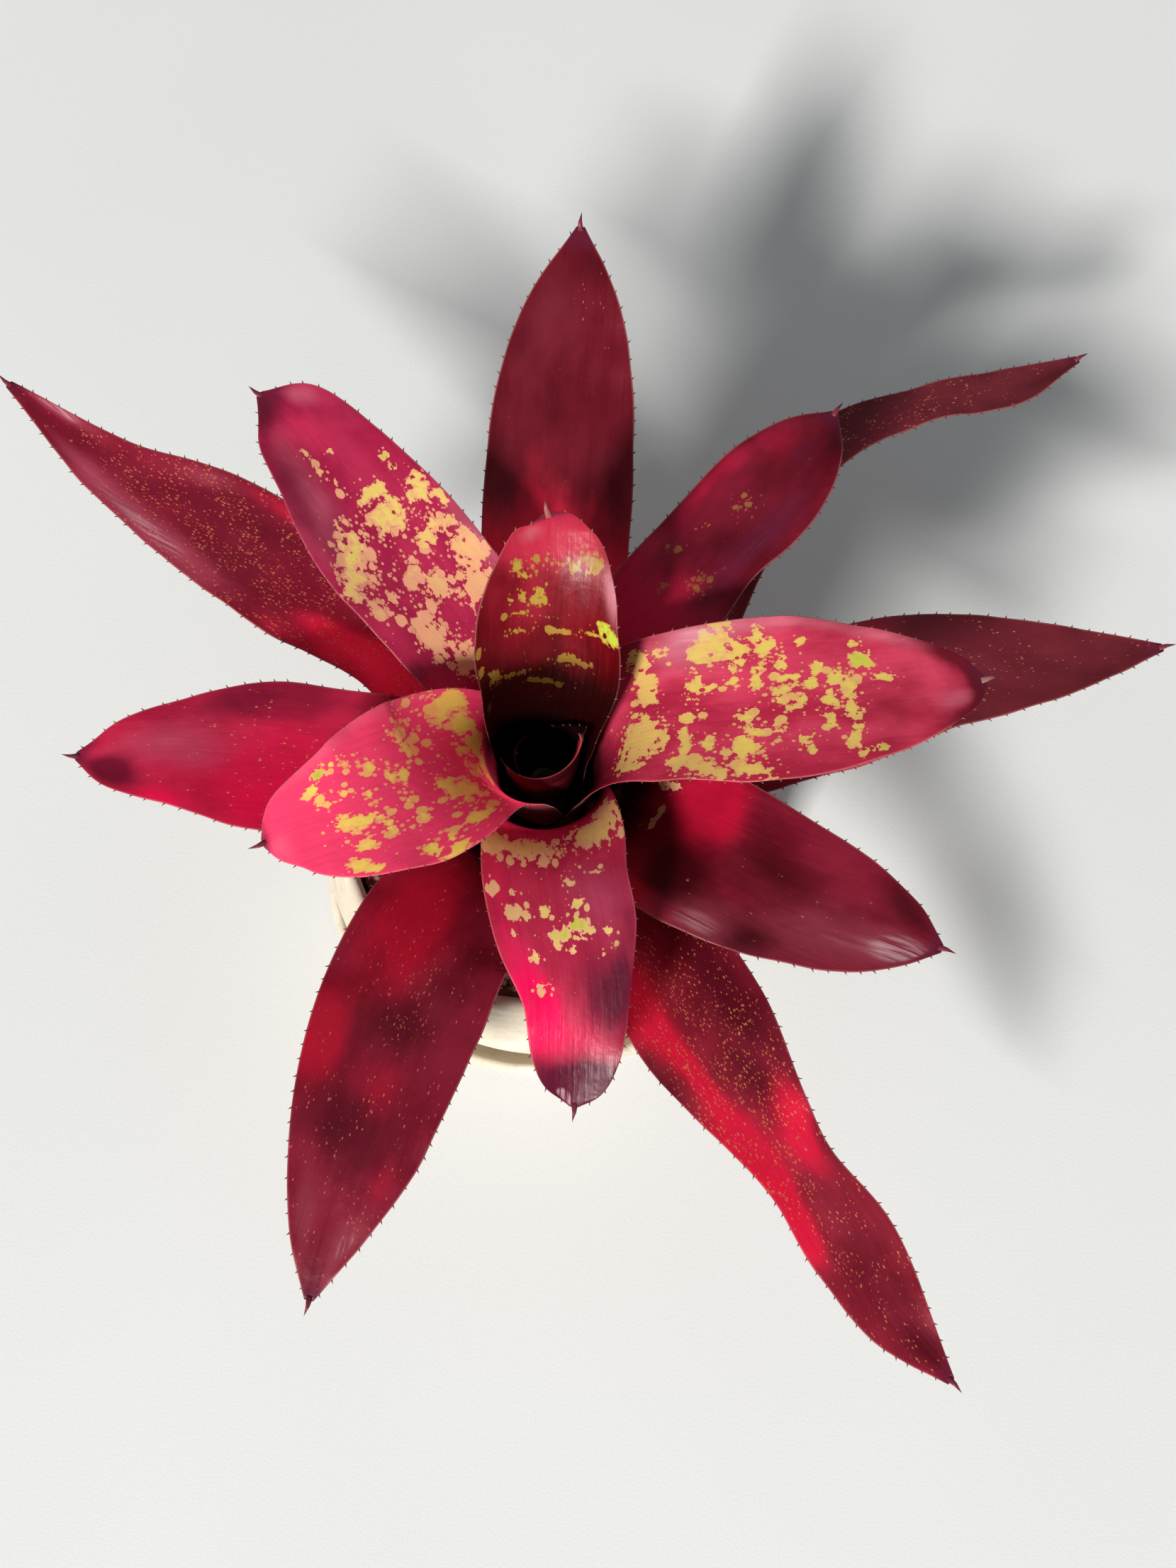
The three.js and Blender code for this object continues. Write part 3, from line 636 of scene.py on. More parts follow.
    # painted highlight: pale streaks where the painted sheen is strongest
    glint = n.times(n.ramp(sheen_amount, 1.0, 1.5), n.ramp(lines, 0.40, 0.62))
    colour = n.mix(n.times(glint, 0.6), colour, (0.72, 0.46, 0.50))
    bands = n.noise(n.vector(n.times(across, 0.1), along, seed), 0.16, 2)
    dull = n.mix(n.ramp(bands, 0.5, 0.62), *map(shade, under))
    below = n.ramp(face, 0.6, 0.4)
    colour = n.mix(below, colour, dull)
    colour = n.mix(n.ramp(face, 1.4, 1.6), colour, horn)

    grain = n.bump(lines, 0.00016, 0.6)
    grain = n.bump(n.noise(flat, 0.25, 2), 0.0007, 0.3, grain)
    n.dress(colour, n.ramp(lines, -0.55, 2.1), grain)
    n.shader.inputs["Specular IOR Level"].default_value = LEAF_SPECULAR

    # thin parts let some light through, the hot ones most
    lit = n.mix(n.ramp(face, 1.4, 1.6), n.mix(0.3, colour, glow_colour), colour)
    through = n.new("BsdfTranslucent", [("Color", n.mix(below, lit, (0.98, 0.80, 0.80)))])
    share = n.times(n.ramp(face, 1.6, 1.4), n.plus(clear, glow))
    share = n.math("ADD", share, n.times(below, back), clamp=True)
    n.blend(share, through[0])
    return n.material


def ceramic_material():
    n = Nodes("cream_ceramic")
    place = n.object_place()
    x, y, z = n.split(place)
    mottle = n.noise(place, 38.0, 4, 0.6)
    cream = n.mix(n.ramp(mottle, 0.35, 0.7), (0.60, 0.52, 0.40), (0.80, 0.73, 0.60))
    fine = n.noise(place, 420.0, 2, 0.6)
    cream = n.mix(n.times(n.ramp(fine, 0.58, 0.75), 0.35), cream, (0.42, 0.33, 0.24))
    around = n.times(n.math("ARCTAN2", y, x), 0.06)
    rings = n.noise(n.vector(around, n.times(z, 3.0), 0.0), 160.0, 2, 0.5)
    normal = n.bump(fine, 0.0002, 0.35, n.bump(rings, 0.0006, 0.5))
    return n.dress(cream, n.ramp(n.plus(mottle, fine), -0.6, 2.0), normal)


def pebble_material():
    n = Nodes("pebbles")
    tint = n.split(n.attribute("tint"))
    place = n.object_place()
    grain = n.noise(place, 900.0, 3, 0.6)
    stone = n.mix(tint[0], (0.30, 0.13, 0.09), (0.62, 0.45, 0.34))
    stone = n.mix(n.times(tint[1], 0.5), stone, (0.42, 0.40, 0.36))
    stone = n.mix(n.times(n.ramp(grain, 0.5, 0.75), 0.5), stone, (0.16, 0.07, 0.05))
    return n.dress(stone, n.ramp(grain, -0.8, 1.1), n.bump(grain, 0.0003, 0.5))


def bark_material():
    n = Nodes("bark_mix")
    lumps = n.noise(n.object_place(), 160.0, 5, 0.7)
    colour = n.mix(n.ramp(lumps, 0.3, 0.7), (0.018, 0.010, 0.006), (0.11, 0.06, 0.03))
    return n.dress(colour, n.ramp(lumps, -2.5, 1.0), n.bump(lumps, 0.002, 0.8))


def stem_material():
    n = Nodes("scarred_stem")
    x, y, z = n.split(n.object_place())
    scars = n.noise(n.vector(n.times(x, 0.2), n.times(y, 0.2), z), 420.0, 3)
    colour = n.mix(n.ramp(scars, 0.35, 0.65), (0.06, 0.04, 0.02), (0.24, 0.20, 0.09))
    return n.dress(colour, n.ramp(scars, -1.8, 1.0), n.bump(scars, 0.0008, 0.7))


def paper_material():
    n = Nodes("studio_paper")
    place = n.object_place()
    grain = n.noise(place, 900.0, 3, 0.6)
    broad = n.noise(place, 2.2, 3, 0.5)
    colour = n.mix(n.ramp(broad, 0.3, 0.7), (0.70, 0.714, 0.703), (0.74, 0.752, 0.74))
    return n.dress(colour, 0.9, n.bump(grain, 0.0003, 0.25))


# ---- turned pieces ----

def fine_profile(profile, rounds):
    """Cuts the corners of an open profile a few times."""
    line = np.array(profile, dtype=float)
    for _ in range(rounds):
        quarter = line[:-1] * 0.75 + line[1:] * 0.25
        three = line[:-1] * 0.25 + line[1:] * 0.75
        cut = np.stack([quarter, three], axis=1).reshape(-1, 2)
        line = np.vstack([line[:1], cut[1:-1], line[-1:]])
    return line


def turned(profile, segments, wobble=None, closed=False, shift=lambda radius: 0.0):
    """Points and faces of a turned shape from (radius, height) pairs in mm,
    outside first. wobble changes the radius, shift moves a ring along x."""
    points, faces, rings = [], [], []
    for radius, height in profile:
        x = shift(radius)
        if radius < 1e-6:
            rings.append([len(points)])
            points.append((x, 0, height))
            continue
        rings.append(range(len(points), len(points) + segments))
        for k in range(segments):
            a = 2 * math.pi * k / segments
            r = radius + (wobble(a, radius, height) if wobble else 0.0)
            points.append((x + r * math.cos(a), r * math.sin(a), height))
    pairs = list(zip(rings, rings[1:])) + ([(rings[-1], rings[0])] if closed else [])
    for lower, upper in pairs:
        for k in range(segments):
            m = (k + 1) % segments
            if len(lower) == 1:
                faces.append((lower[0], upper[m], upper[k]))
            elif len(upper) == 1:
                faces.append((lower[k], lower[m], upper[0]))
            else:
                faces.append((lower[k], lower[m], upper[m], upper[k]))
    return points, faces


SAUCER_RADIUS = 88.0
SAUCER_HEIGHT = 14.0
SAUCER_WALL = 5.0
SAUCER_FLOOR = 5.0
SAUCER_FOOT_RADIUS = 66.0
POT_BASE_Z = SAUCER_FLOOR + SEAT_GAP
POT_RIM_Z = 85.0
POT_RIM_RADIUS = 75.0
POT_BELLY_RADIUS = 83.0
POT_BELLY_Z = 36.0
POT_FOOT_RADIUS = 62.0
POT_WALL = 6.0
POT_FLOOR = 7.0
DRAIN_RADIUS = 6.0
STEM_BOTTOM_Z = 38.0
CORNER_ROUNDS = 3                    # how often a profile's corners are cut
SAUCER_SEGMENTS = 160
POT_SEGMENTS = 200
STEM_SEGMENTS = 40


def make_saucer(material):
    outer, top, floor = SAUCER_RADIUS, SAUCER_HEIGHT, SAUCER_FLOOR
    inner = outer - SAUCER_WALL
    wall = [(SAUCER_FOOT_RADIUS, 0), (outer - 6, 3), (outer - 1, 8), (outer, top - 2),
            (outer - SAUCER_WALL / 2, top), (inner, top - 1.5), (inner - 1.5, floor + 3),
            (inner - 5, floor), (0, floor)]
    profile = np.vstack([[(0, 0)], fine_profile(wall, CORNER_ROUNDS)])
    piece = mesh_piece("fine_saucer", *turned(profile, SAUCER_SEGMENTS))
    set_up(piece, "saucer", material)


def hand_made(angle, radius, height):
    """The slight unevenness of a hand-thrown wall, in mm."""
    if radius < POT_FOOT_RADIUS + 3:
        return 0.0
    dents = 0.35 * math.sin(3 * angle + height / 17) * math.sin(height / 9 + 1)
    dents += 0.25 * math.sin(7 * angle - height / 11 + 2)
    return dents + 0.18 * math.sin(height * 1.15)


def make_pot(material):
    foot, belly, rim = POT_FOOT_RADIUS, POT_BELLY_RADIUS, POT_RIM_RADIUS
    base, middle, top, thick = POT_BASE_Z, POT_BELLY_Z, POT_RIM_Z, POT_WALL
    wall = [(foot, base), (foot + 10, base + 8), (belly - 2, middle - 12), (belly, middle),
            (belly - 1.5, middle + 16), (rim + 3.2, top - 16), (rim + 0.6, top - 4),
            (rim - 1, top - 0.8), (rim - thick / 2, top), (rim - thick + 0.8, top - 1),
            (rim - thick, top - 4), (rim - thick + 2.5, top - 18), (belly - thick, middle + 4),
            (belly - thick - 4, middle - 14), (foot, base + POT_FLOOR)]
    profile = np.vstack([[(DRAIN_RADIUS, base)], fine_profile(wall, CORNER_ROUNDS),
                         [(DRAIN_RADIUS, base + POT_FLOOR)]])
    piece = mesh_piece("fine_pot", *turned(profile, POT_SEGMENTS, hand_made, closed=True))
    set_up(piece, "pot", material)


def make_stem(material):
    profile = [(0, STEM_BOTTOM_Z), (STEM_RADIUS, STEM_BOTTOM_Z)]
    for z in np.linspace(STEM_TAPER_Z - 30, STEM_TOP_Z, 90):
        scar = 0.25 * abs(math.sin(math.pi * (z - STEM_TAPER_Z) / LEAF_STEP_Z))
        profile.append((stem_radius(z) - scar, z))
    profile.append((0, STEM_TOP_Z + 2))
    piece = mesh_piece("fine_stem", *turned(profile, STEM_SEGMENTS, shift=lambda r: ROSETTE_X))
    set_up(piece, "stem", material)


# ---- gravel: a bed of small pebbles over the CAD layer's place ----

PEBBLE_MM = 3.3
PEBBLE_STEP_MM = PEBBLE_MM * 0.92
ROW_STEP = 0.866                     # of a row to the step in it, packed closely
JITTER_MM = 0.5
PEBBLE_SIZES = (0.72, 1.22)          # smallest and largest, of PEBBLE_MM
PEBBLE_STRETCH = (0.72, 1.2)         # along each of its axes
PEBBLE_FLATNESS = (1, 1, 0.8)
PEBBLE_ROUGHNESS = 0.07
PEBBLE_RISE_MM = (-0.5, 0.7)
TOP_LAYER_MM = 1.1                   # above GRAVEL_TOP_Z
LAYER_SHIFT_MM = (1.5, 0.9, 1.5)     # of the lower layer along x, along y and down
BED_SEGMENTS = 64
GRAVEL_TOP_Z = 75.3
GRAVEL_SEED = 4711
BED_DEPTHS_MM = (4.6, 1.6)           # bottom and top of the plain bed, below the top
BED_TINT = (0.1, 0.3, 0.0)


def icosphere(levels):
    g = (1 + math.sqrt(5)) / 2
    points = unit(np.array([
        (-1, g, 0), (1, g, 0), (-1, -g, 0), (1, -g, 0), (0, -1, g), (0, 1, g),
        (0, -1, -g), (0, 1, -g), (g, 0, -1), (g, 0, 1), (-g, 0, -1), (-g, 0, 1)], dtype=float))
    faces = [(0, 11, 5), (0, 5, 1), (0, 1, 7), (0, 7, 10), (0, 10, 11), (1, 5, 9), (5, 11, 4),
             (11, 10, 2), (10, 7, 6), (7, 1, 8), (3, 9, 4), (3, 4, 2), (3, 2, 6), (3, 6, 8),
             (3, 8, 9), (4, 9, 5), (2, 4, 11), (6, 2, 10), (8, 6, 7), (9, 8, 1)]
    points = list(points)
    for _ in range(levels):
        cache, finer = {}, []

        def middle(a, b):
            key = (min(a, b), max(a, b))
            if key not in cache:
                cache[key] = len(points)
                points.append(unit(points[a] + points[b]))
            return cache[key]

        for a, b, c in faces:
            ab, bc, ca = middle(a, b), middle(b, c), middle(c, a)
            finer += [(a, ab, ca), (b, bc, ab), (c, ca, bc), (ab, bc, ca)]
        faces = finer
    return np.array(points), faces


def make_gravel(material):
    rng = np.random.default_rng(GRAVEL_SEED)
    balls = [icosphere(1), icosphere(0)]       # the lower layer hardly shows
    inner, hole = POT_RIM_RADIUS - POT_WALL - 1.0, STEM_RADIUS + 0.4
    low, high = (GRAVEL_TOP_Z - depth for depth in BED_DEPTHS_MM)
    points, faces = turned([(hole, low), (inner, low), (inner, high), (hole, high)],
                           BED_SEGMENTS, closed=True,
                           shift=lambda radius: ROSETTE_X if radius == hole else 0.0)
    tints = [BED_TINT] * len(points)
    reach = inner - PEBBLE_MM * 0.45
    rows = int(reach / (PEBBLE_STEP_MM * ROW_STEP)) + 1
    shift_x, shift_y, drop = LAYER_SHIFT_MM
    for layer, (ball, ball_faces) in enumerate(balls):
        for r in range(-rows, rows + 1):
            for c in range(-rows - 2, rows + 3):
                x = (c + 0.5 * (r % 2)) * PEBBLE_STEP_MM + rng.uniform(-JITTER_MM, JITTER_MM)
                y = r * PEBBLE_STEP_MM * ROW_STEP + rng.uniform(-JITTER_MM, JITTER_MM)
                x, y = x + layer * shift_x, y + layer * shift_y
                size = PEBBLE_MM / 2 * rng.uniform(*PEBBLE_SIZES)
                z = GRAVEL_TOP_Z + TOP_LAYER_MM - layer * drop + rng.uniform(*PEBBLE_RISE_MM)
                shape = rng.uniform(*PEBBLE_STRETCH, 3) * PEBBLE_FLATNESS
                turn = rng.uniform(0, math.pi)
                lean = rng.uniform(-0.5, 0.5)
                tint = rng.uniform(0, 1, 2)
                rough = rng.normal(0, PEBBLE_ROUGHNESS, len(ball))
                too_far = math.hypot(x, y) > reach - size * 0.4
                at_stem = math.hypot(x - ROSETTE_X, y) < STEM_RADIUS + size * 1.25
                if too_far or at_stem or (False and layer):
                    continue
                stone = ball * (1 + rough)[:, None] * shape * size
                cos, sin = math.cos(turn), math.sin(turn)
                stone = stone @ np.array([(cos, -sin, 0), (sin, cos, 0), (0, 0, 1)]).T
                cos, sin = math.cos(lean), math.sin(lean)
                stone = stone @ np.array([(1, 0, 0), (0, cos, -sin), (0, sin, cos)]).T
                first = len(points)
                points += [tuple(p) for p in stone + (x, y, z)]
                faces += [(a + first, b + first, c2 + first) for a, b, c2 in ball_faces]
                tints += [(tint[0], tint[1] ** 3, 0.0)] * len(ball)
    piece = mesh_piece("fine_gravel", points, faces)
    add_attribute(piece, "tint", tints)
    set_up(piece, "gravel", material)


# ---- paint: where each leaf is blotched, dark or in painted shade, given a painted glow and a painted sheen ----

# Along the leaf in thousandths, 0 at the throat to 1000 at the tip; across it in
# hundredths, -100 on the right margin to 100 on the left, looking to the tip;
# strength in hundredths.
# patches: (along, across, radius along, radius across)
# the rest: (along, across, reach along, reach across, strength)

# Of the marks, the darkening ones are the leaf's own dark clouds together with painted shade, in
# the cup and where other leaves shade it; the glowing ones are a painted glow of light shining
# through the leaf; the hazy ones are a painted sheen.
MARK_UNITS = (1000, 100, 1000, 100, 100)

MARKS = {
    3: dict(
    patches=[(530, -90, 55, 22), (570, -74, 35, 14), (520, -62, 13, 13), (750, 42, 22, 15),
        (790, 60, 34, 9), (800, -80, 18, 10), (780, -62, 16, 8), (790, -40, 13, 6),
        (635, 17, 30, 14), (680, 17, 35, 6), (640, 55, 14, 7), (655, 42, 25, 5), (580, 42, 10, 12),
        (500, 45, 11, 13), (500, -15, 13, 18), (370, -22, 30, 17), (360, -42, 16, 13),
        (330, 72, 45, 15), (300, 50, 16, 20), (240, 10, 20, 20), (450, 93, 28, 5), (380, 93, 22, 4),
        (200, 86, 30, 5)],
    dots=[(810, 0, 45, 80, 130), (840, -70, 60, 30, 90), (620, 20, 140, 70, 50),
        (300, 0, 200, 80, 55)],
    shade_and_dark=[(0, 0, 370, 250, 130), (240, 0, 120, 250, 30)],
    painted_glow=[(950, 0, 170, 160, 120), (600, 30, 120, 50, 35)],
    lime=[(550, -90, 100, 40, 120), (750, 30, 200, 100, 60)],
    sheen=[(700, -95, 110, 14, 110), (930, 50, 50, 40, 70)]),
    4: dict(
    patches=[(770, -72, 30, 12), (815, -50, 32, 13), (785, -33, 30, 11), (765, -20, 22, 8),
        (725, 12, 36, 13), (690, 20, 36, 13), (660, 17, 22, 7), (700, 52, 32, 11),
        (735, 78, 40, 13), (710, 88, 32, 9), (665, -60, 14, 6), (715, -72, 14, 6),
        (585, -42, 22, 7), (535, -22, 21, 10), (490, -18, 21, 10), (630, -10, 14, 6),
        (700, -28, 14, 6), (445, -62, 20, 12), (430, -42, 20, 12), (370, 18, 45, 18),
        (340, 30, 50, 17), (310, 40, 30, 11), (390, 70, 36, 11), (350, 75, 32, 8),
        (540, 80, 26, 11), (475, 75, 21, 9), (480, 93, 32, 9), (515, 98, 22, 6), (610, 40, 21, 9),
        (520, 15, 12, 5), (620, 20, 16, 6), (500, 38, 16, 6), (240, -80, 45, 26),
        (200, -55, 45, 20), (150, -32, 50, 20), (110, -10, 45, 18), (80, 12, 40, 14),
        (170, 5, 20, 10), (220, -20, 22, 10)],
    dots=[(370, -75, 100, 40, 120), (220, 30, 120, 90, 85), (550, 20, 300, 90, 82),
        (650, -60, 100, 30, 60)],
    shade_and_dark=[(0, -60, 100, 90, 110), (0, 40, 40, 90, 50)],
    painted_glow=[(600, 10, 600, 200, 100)],
    lime=[(770, -72, 50, 20, 120), (360, 25, 80, 30, 15), (500, 50, 350, 120, 50),
        (140, -40, 120, 60, 80)],
    clear=[(180, 20, 300, 160, 65)],
    sheen=[(600, -95, 350, 15, 80), (950, 40, 50, 60, 70)]),
    5: dict(
    patches=[(720, 50, 34, 15), (705, 72, 11, 5), (765, 25, 24, 8), (615, 35, 19, 10),
        (600, 20, 19, 8), (565, 25, 14, 7), (650, 23, 20, 11), (640, -2, 21, 14),
        (635, -32, 16, 13), (685, 10, 16, 20), (690, -25, 21, 19), (690, -45, 16, 11),
        (680, -65, 19, 16), (695, -85, 14, 10), (735, -87, 14, 7), (575, -3, 18, 8),
        (530, 8, 26, 10), (535, 25, 16, 6), (535, 42, 14, 12), (580, 70, 11, 7), (490, 62, 32, 13),
        (475, 78, 14, 13), (475, 38, 16, 9), (475, 22, 15, 11), (380, 75, 50, 26),
        (430, 60, 30, 20), (340, 62, 20, 20), (330, 22, 24, 16), (360, 20, 28, 6), (425, 25, 14, 5),
        (450, -55, 42, 15), (470, -38, 30, 7), (450, -20, 21, 8), (520, -38, 14, 9),
        (545, -12, 14, 6), (370, -50, 21, 10), (585, -60, 14, 11), (570, -50, 11, 5),
        (465, -85, 35, 9), (510, -97, 13, 5), (200, -35, 70, 36), (150, -60, 60, 30),
        (210, 60, 24, 32), (220, 30, 30, 28), (260, 75, 15, 9), (310, -15, 32, 7),
        (310, -50, 17, 26), (300, -75, 30, 14), (350, -85, 38, 12), (400, -92, 20, 12)],
    dots=[(380, -80, 120, 30, 85), (520, 10, 200, 80, 62), (700, 30, 50, 60, 55),
        (150, 0, 100, 90, 55)],
    shade_and_dark=[(140, 20, 140, 150, 45), (770, -30, 110, 70, 45), (930, 90, 90, 40, 130),
        (930, -100, 60, 30, 90), (980, 0, 30, 200, 130)],
    painted_glow=[(870, 35, 60, 50, 70), (400, 10, 200, 60, 30)],
    lime=[(720, 50, 50, 20, 60), (735, -87, 30, 20, 120), (550, 10, 300, 120, 60)],
    sheen=[(920, -50, 60, 40, 70), (800, 90, 120, 20, 60), (330, 80, 110, 35, 120),
        (550, 95, 200, 12, 80)]),
    6: dict(
    patches=[(675, -75, 18, 9), (645, -68, 14, 8), (735, 25, 15, 9), (755, -13, 12, 7),
        (785, 28, 22, 5), (690, 15, 18, 4), (620, -27, 34, 20), (615, -6, 20, 12),
        (555, -20, 55, 34), (560, -75, 44, 20), (590, -86, 28, 12), (520, -92, 35, 8),
        (475, -62, 26, 14), (455, -78, 21, 11), (460, -40, 26, 17), (600, 45, 16, 9),
        (545, 42, 32, 26), (520, 56, 30, 20), (490, 70, 32, 20), (460, 84, 22, 11),
        (400, 76, 13, 8), (360, -10, 34, 20), (380, -75, 60, 28), (310, -55, 55, 32),
        (270, 42, 50, 24), (190, 22, 55, 28), (220, -35, 50, 25), (420, 5, 14, 10)],
    dots=[(450, 10, 180, 100, 72), (700, 35, 120, 35, 38), (320, 45, 150, 50, 75),
        (500, 75, 80, 30, 60)],
    shade_and_dark=[(0, 0, 120, 200, 80), (360, 0, 200, 120, 30), (700, 80, 180, 35, 70),
        (940, 60, 60, 60, 90)],
    painted_glow=[(850, 0, 100, 50, 40)],
    lime=[(670, -72, 50, 20, 100), (600, 0, 200, 150, 55)],
    sheen=[(680, 60, 180, 40, 100), (380, -92, 120, 20, 120), (920, -60, 50, 40, 100)]),
    7: dict(
    patches=[(225, -35, 50, 46), (210, -82, 50, 26), (180, 55, 55, 42), (150, 80, 60, 25),
        (410, -62, 26, 22), (335, -88, 22, 9), (420, -22, 20, 10), (350, -60, 12, 6),
        (350, 22, 17, 10), (420, 22, 16, 13), (500, -5, 28, 27), (482, 16, 36, 25),
        (545, -52, 15, 10), (570, 50, 9, 6), (510, 60, 10, 8), (545, 72, 12, 6), (470, -72, 12, 5),
        (630, -55, 11, 9), (545, 5, 12, 6), (330, 55, 13, 8)],
    dots=[(220, 0, 60, 120, 85), (310, 0, 50, 90, 50), (500, 0, 140, 90, 30),
        (660, -50, 50, 40, 60)],
    shade_and_dark=[(690, 60, 130, 55, 100), (935, 25, 75, 140, 200), (580, 90, 150, 25, 50)],
    painted_glow=[(720, -75, 130, 50, 120), (420, -80, 200, 30, 50), (800, 10, 50, 50, 30)],
    lime=[(480, 10, 100, 70, 100), (200, 0, 60, 200, 35)],
    clear=[(150, 0, 180, 200, 50), (700, -80, 150, 40, 25)],
    sheen=[(420, 60, 160, 70, 100), (970, -50, 40, 40, 190)]),
    8: dict(
    patches=[(650, 10, 28, 18), (600, -18, 12, 10), (540, 38, 16, 9), (450, 50, 12, 8),
        (370, 22, 20, 13), (420, -30, 26, 24), (765, 10, 9, 6)],
    dots=[(420, -30, 50, 35, 95), (650, 10, 45, 25, 95), (460, 50, 35, 20, 70),
        (370, 20, 30, 20, 60), (540, 38, 30, 20, 60)],
    shade_and_dark=[(520, -20, 180, 60, 80), (930, -70, 80, 40, 70), (950, 80, 50, 30, 50)],
    painted_glow=[(620, 85, 200, 20, 50), (830, 30, 100, 50, 50), (220, 0, 180, 160, 130)],
    lime=[(420, 0, 100, 60, 50)],
    sheen=[(580, -55, 250, 30, 110), (850, 0, 80, 30, 80)]),
    9: dict(
    dots=[(520, 0, 250, 60, 80)],
    shade_and_dark=[(450, -85, 300, 35, 55), (900, 45, 70, 50, 170), (630, -70, 120, 30, 50),
        (100, 0, 100, 200, 60)],
    painted_glow=[(450, 55, 250, 60, 105), (780, 90, 80, 20, 70), (420, -30, 150, 40, 40)],
    clear=[(400, 60, 250, 50, 25)],
    sheen=[(780, -30, 150, 45, 100), (680, 10, 100, 40, 50)]),
    10: dict(
    patches=[(100, 55, 50, 7), (130, 10, 12, 20)],
    dots=[(80, 20, 80, 60, 35), (600, 0, 300, 80, 25)],
    shade_and_dark=[(270, -40, 90, 40, 130), (140, 10, 90, 40, 50), (500, 15, 220, 50, 65),
        (520, -85, 80, 30, 90), (880, 60, 90, 45, 90), (20, 0, 70, 200, 100)],
    painted_glow=[(260, 55, 120, 60, 130), (210, -100, 110, 30, 200), (450, -35, 100, 20, 35)],
    sheen=[(380, -85, 140, 40, 120), (720, -45, 220, 50, 110), (900, -50, 80, 50, 150)]),
    11: dict(
    dots=[(850, -50, 100, 50, 80)],
    shade_and_dark=[(600, 10, 140, 80, 45), (930, -50, 60, 50, 60), (120, 0, 180, 200, -50)],
    painted_glow=[(140, 20, 220, 180, 160)],
    sheen=[(820, 35, 150, 60, 80), (500, 75, 200, 25, 50)]),
    12: dict(
    dots=[(380, 0, 100, 50, 70), (750, 0, 250, 90, 45)],
    shade_and_dark=[(450, 0, 90, 60, 75), (650, -60, 80, 80, 80), (240, 60, 140, 40, 80),
        (700, 20, 80, 60, 50), (940, 0, 60, 80, 60)],
    painted_glow=[(220, -35, 180, 50, 120), (520, -85, 90, 35, 140), (580, 10, 70, 40, 55),
        (740, 60, 60, 30, 40)],
    clear=[(200, -20, 180, 80, 30), (540, -90, 100, 40, 25)],
    sheen=[(880, 60, 70, 40, 130), (850, -60, 100, 30, 90), (350, 30, 100, 40, 50)]),
    13: dict(
    dots=[(650, 20, 200, 70, 70)],
    shade_and_dark=[(950, 0, 50, 100, 50)],
    painted_glow=[(380, 0, 140, 200, 140)],
    sheen=[(650, 30, 200, 60, 50)]),
    14: dict(
    dots=[(500, 0, 300, 120, 110)],
    shade_and_dark=[(420, -45, 200, 40, 70), (470, 35, 100, 40, 60), (750, -10, 120, 50, 60),
        (950, 20, 50, 80, 50)],
    painted_glow=[(270, 50, 90, 25, 100), (120, 20, 100, 90, 150), (450, -85, 120, 20, 50),
        (330, 90, 100, 20, 50)],
    clear=[(200, 50, 150, 60, 35)],
    sheen=[(620, 75, 160, 35, 125), (900, -75, 80, 40, 150), (600, -75, 60, 25, 90),
        (800, 50, 120, 40, 80)]),
    15: dict(
    dots=[(380, -30, 200, 90, 150), (700, -30, 150, 60, 40)],
    shade_and_dark=[(280, 60, 140, 50, 110), (430, 15, 110, 35, 50), (860, 20, 120, 90, 80),
        (950, 0, 50, 150, 60), (80, 20, 80, 200, 50), (380, -105, 90, 30, 80)],
    painted_glow=[(230, -75, 90, 40, 120), (360, -50, 100, 18, 90), (530, -75, 90, 50, 140),
        (660, -80, 70, 35, 120), (530, 50, 90, 45, 110)],
    clear=[(280, -50, 150, 50, 30), (560, -70, 130, 50, 40)],
    sheen=[(360, -95, 100, 20, 80), (740, 10, 150, 50, 60)]),
    16: dict(
    dots=[(650, 0, 200, 90, 90)],
    shade_and_dark=[(930, -30, 80, 80, 60)],
    sheen=[(600, 0, 300, 100, 35)]),
}


def patch_field(u, v, patches):
    """1 in the middle of the nearest patch, 0 on its edge, negative outside."""
    field = np.full(len(u), -2.0)
    for at, across, reach_u, reach_v in np.array(patches).reshape(-1, 4) / MARK_UNITS[:4]:
        far = np.hypot((u - at) / reach_u, (v - across) / reach_v)
        reach = min(reach_u * 120, reach_v * 26)
        field = np.maximum(field, np.where(far < 1, 1 - far, (1 - far) * reach / 2.5))
    return field


def soft_field(u, v, places):
    """Soft round spots, added up."""
    field = np.zeros(len(u))
    for at, across, reach_u, reach_v, strength in np.array(places).reshape(-1, 5) / MARK_UNITS:
        field += strength * np.exp(-((u - at) / reach_u) ** 2 - ((v - across) / reach_v) ** 2)
    return field


def paint_leaf(piece, number, place, kind):
    length = place[:, 1].max()
    u = place[:, 1] / length
    v = place[:, 0] / np.maximum(np.abs(place[:, 0]) + kind[:, 0], 1e-3)
    marks = MARKS.get(number, {})
    dots, shade_and_dark, painted_glow, lime, sheen, clear = (
        soft_field(u, v, marks.get(name, []))
        for name in ("dots", "shade_and_dark", "painted_glow", "lime", "sheen", "clear"))
    if number <= ROLLED_LEAVES:                # painted shade on the inner face, up to the rim
        shade_and_dark = 1.6 * (kind[:, 2] == 1) * np.clip((0.97 - u) / 0.05, 0, 1)
    blob = patch_field(u, v, marks.get("patches", []))
    for name, values in (("paint", (blob, dots, shade_and_dark)), ("tone", (painted_glow, lime, sheen)),
                         ("clear", (clear, clear, clear))):
        add_attribute(piece, name, np.stack(values, axis=1))


# For each leaf the colours base, light, dark (also the colour of painted shade),
# the painted glow and the painted sheen, in thousandths, and the rest of what
# leaf_material takes.

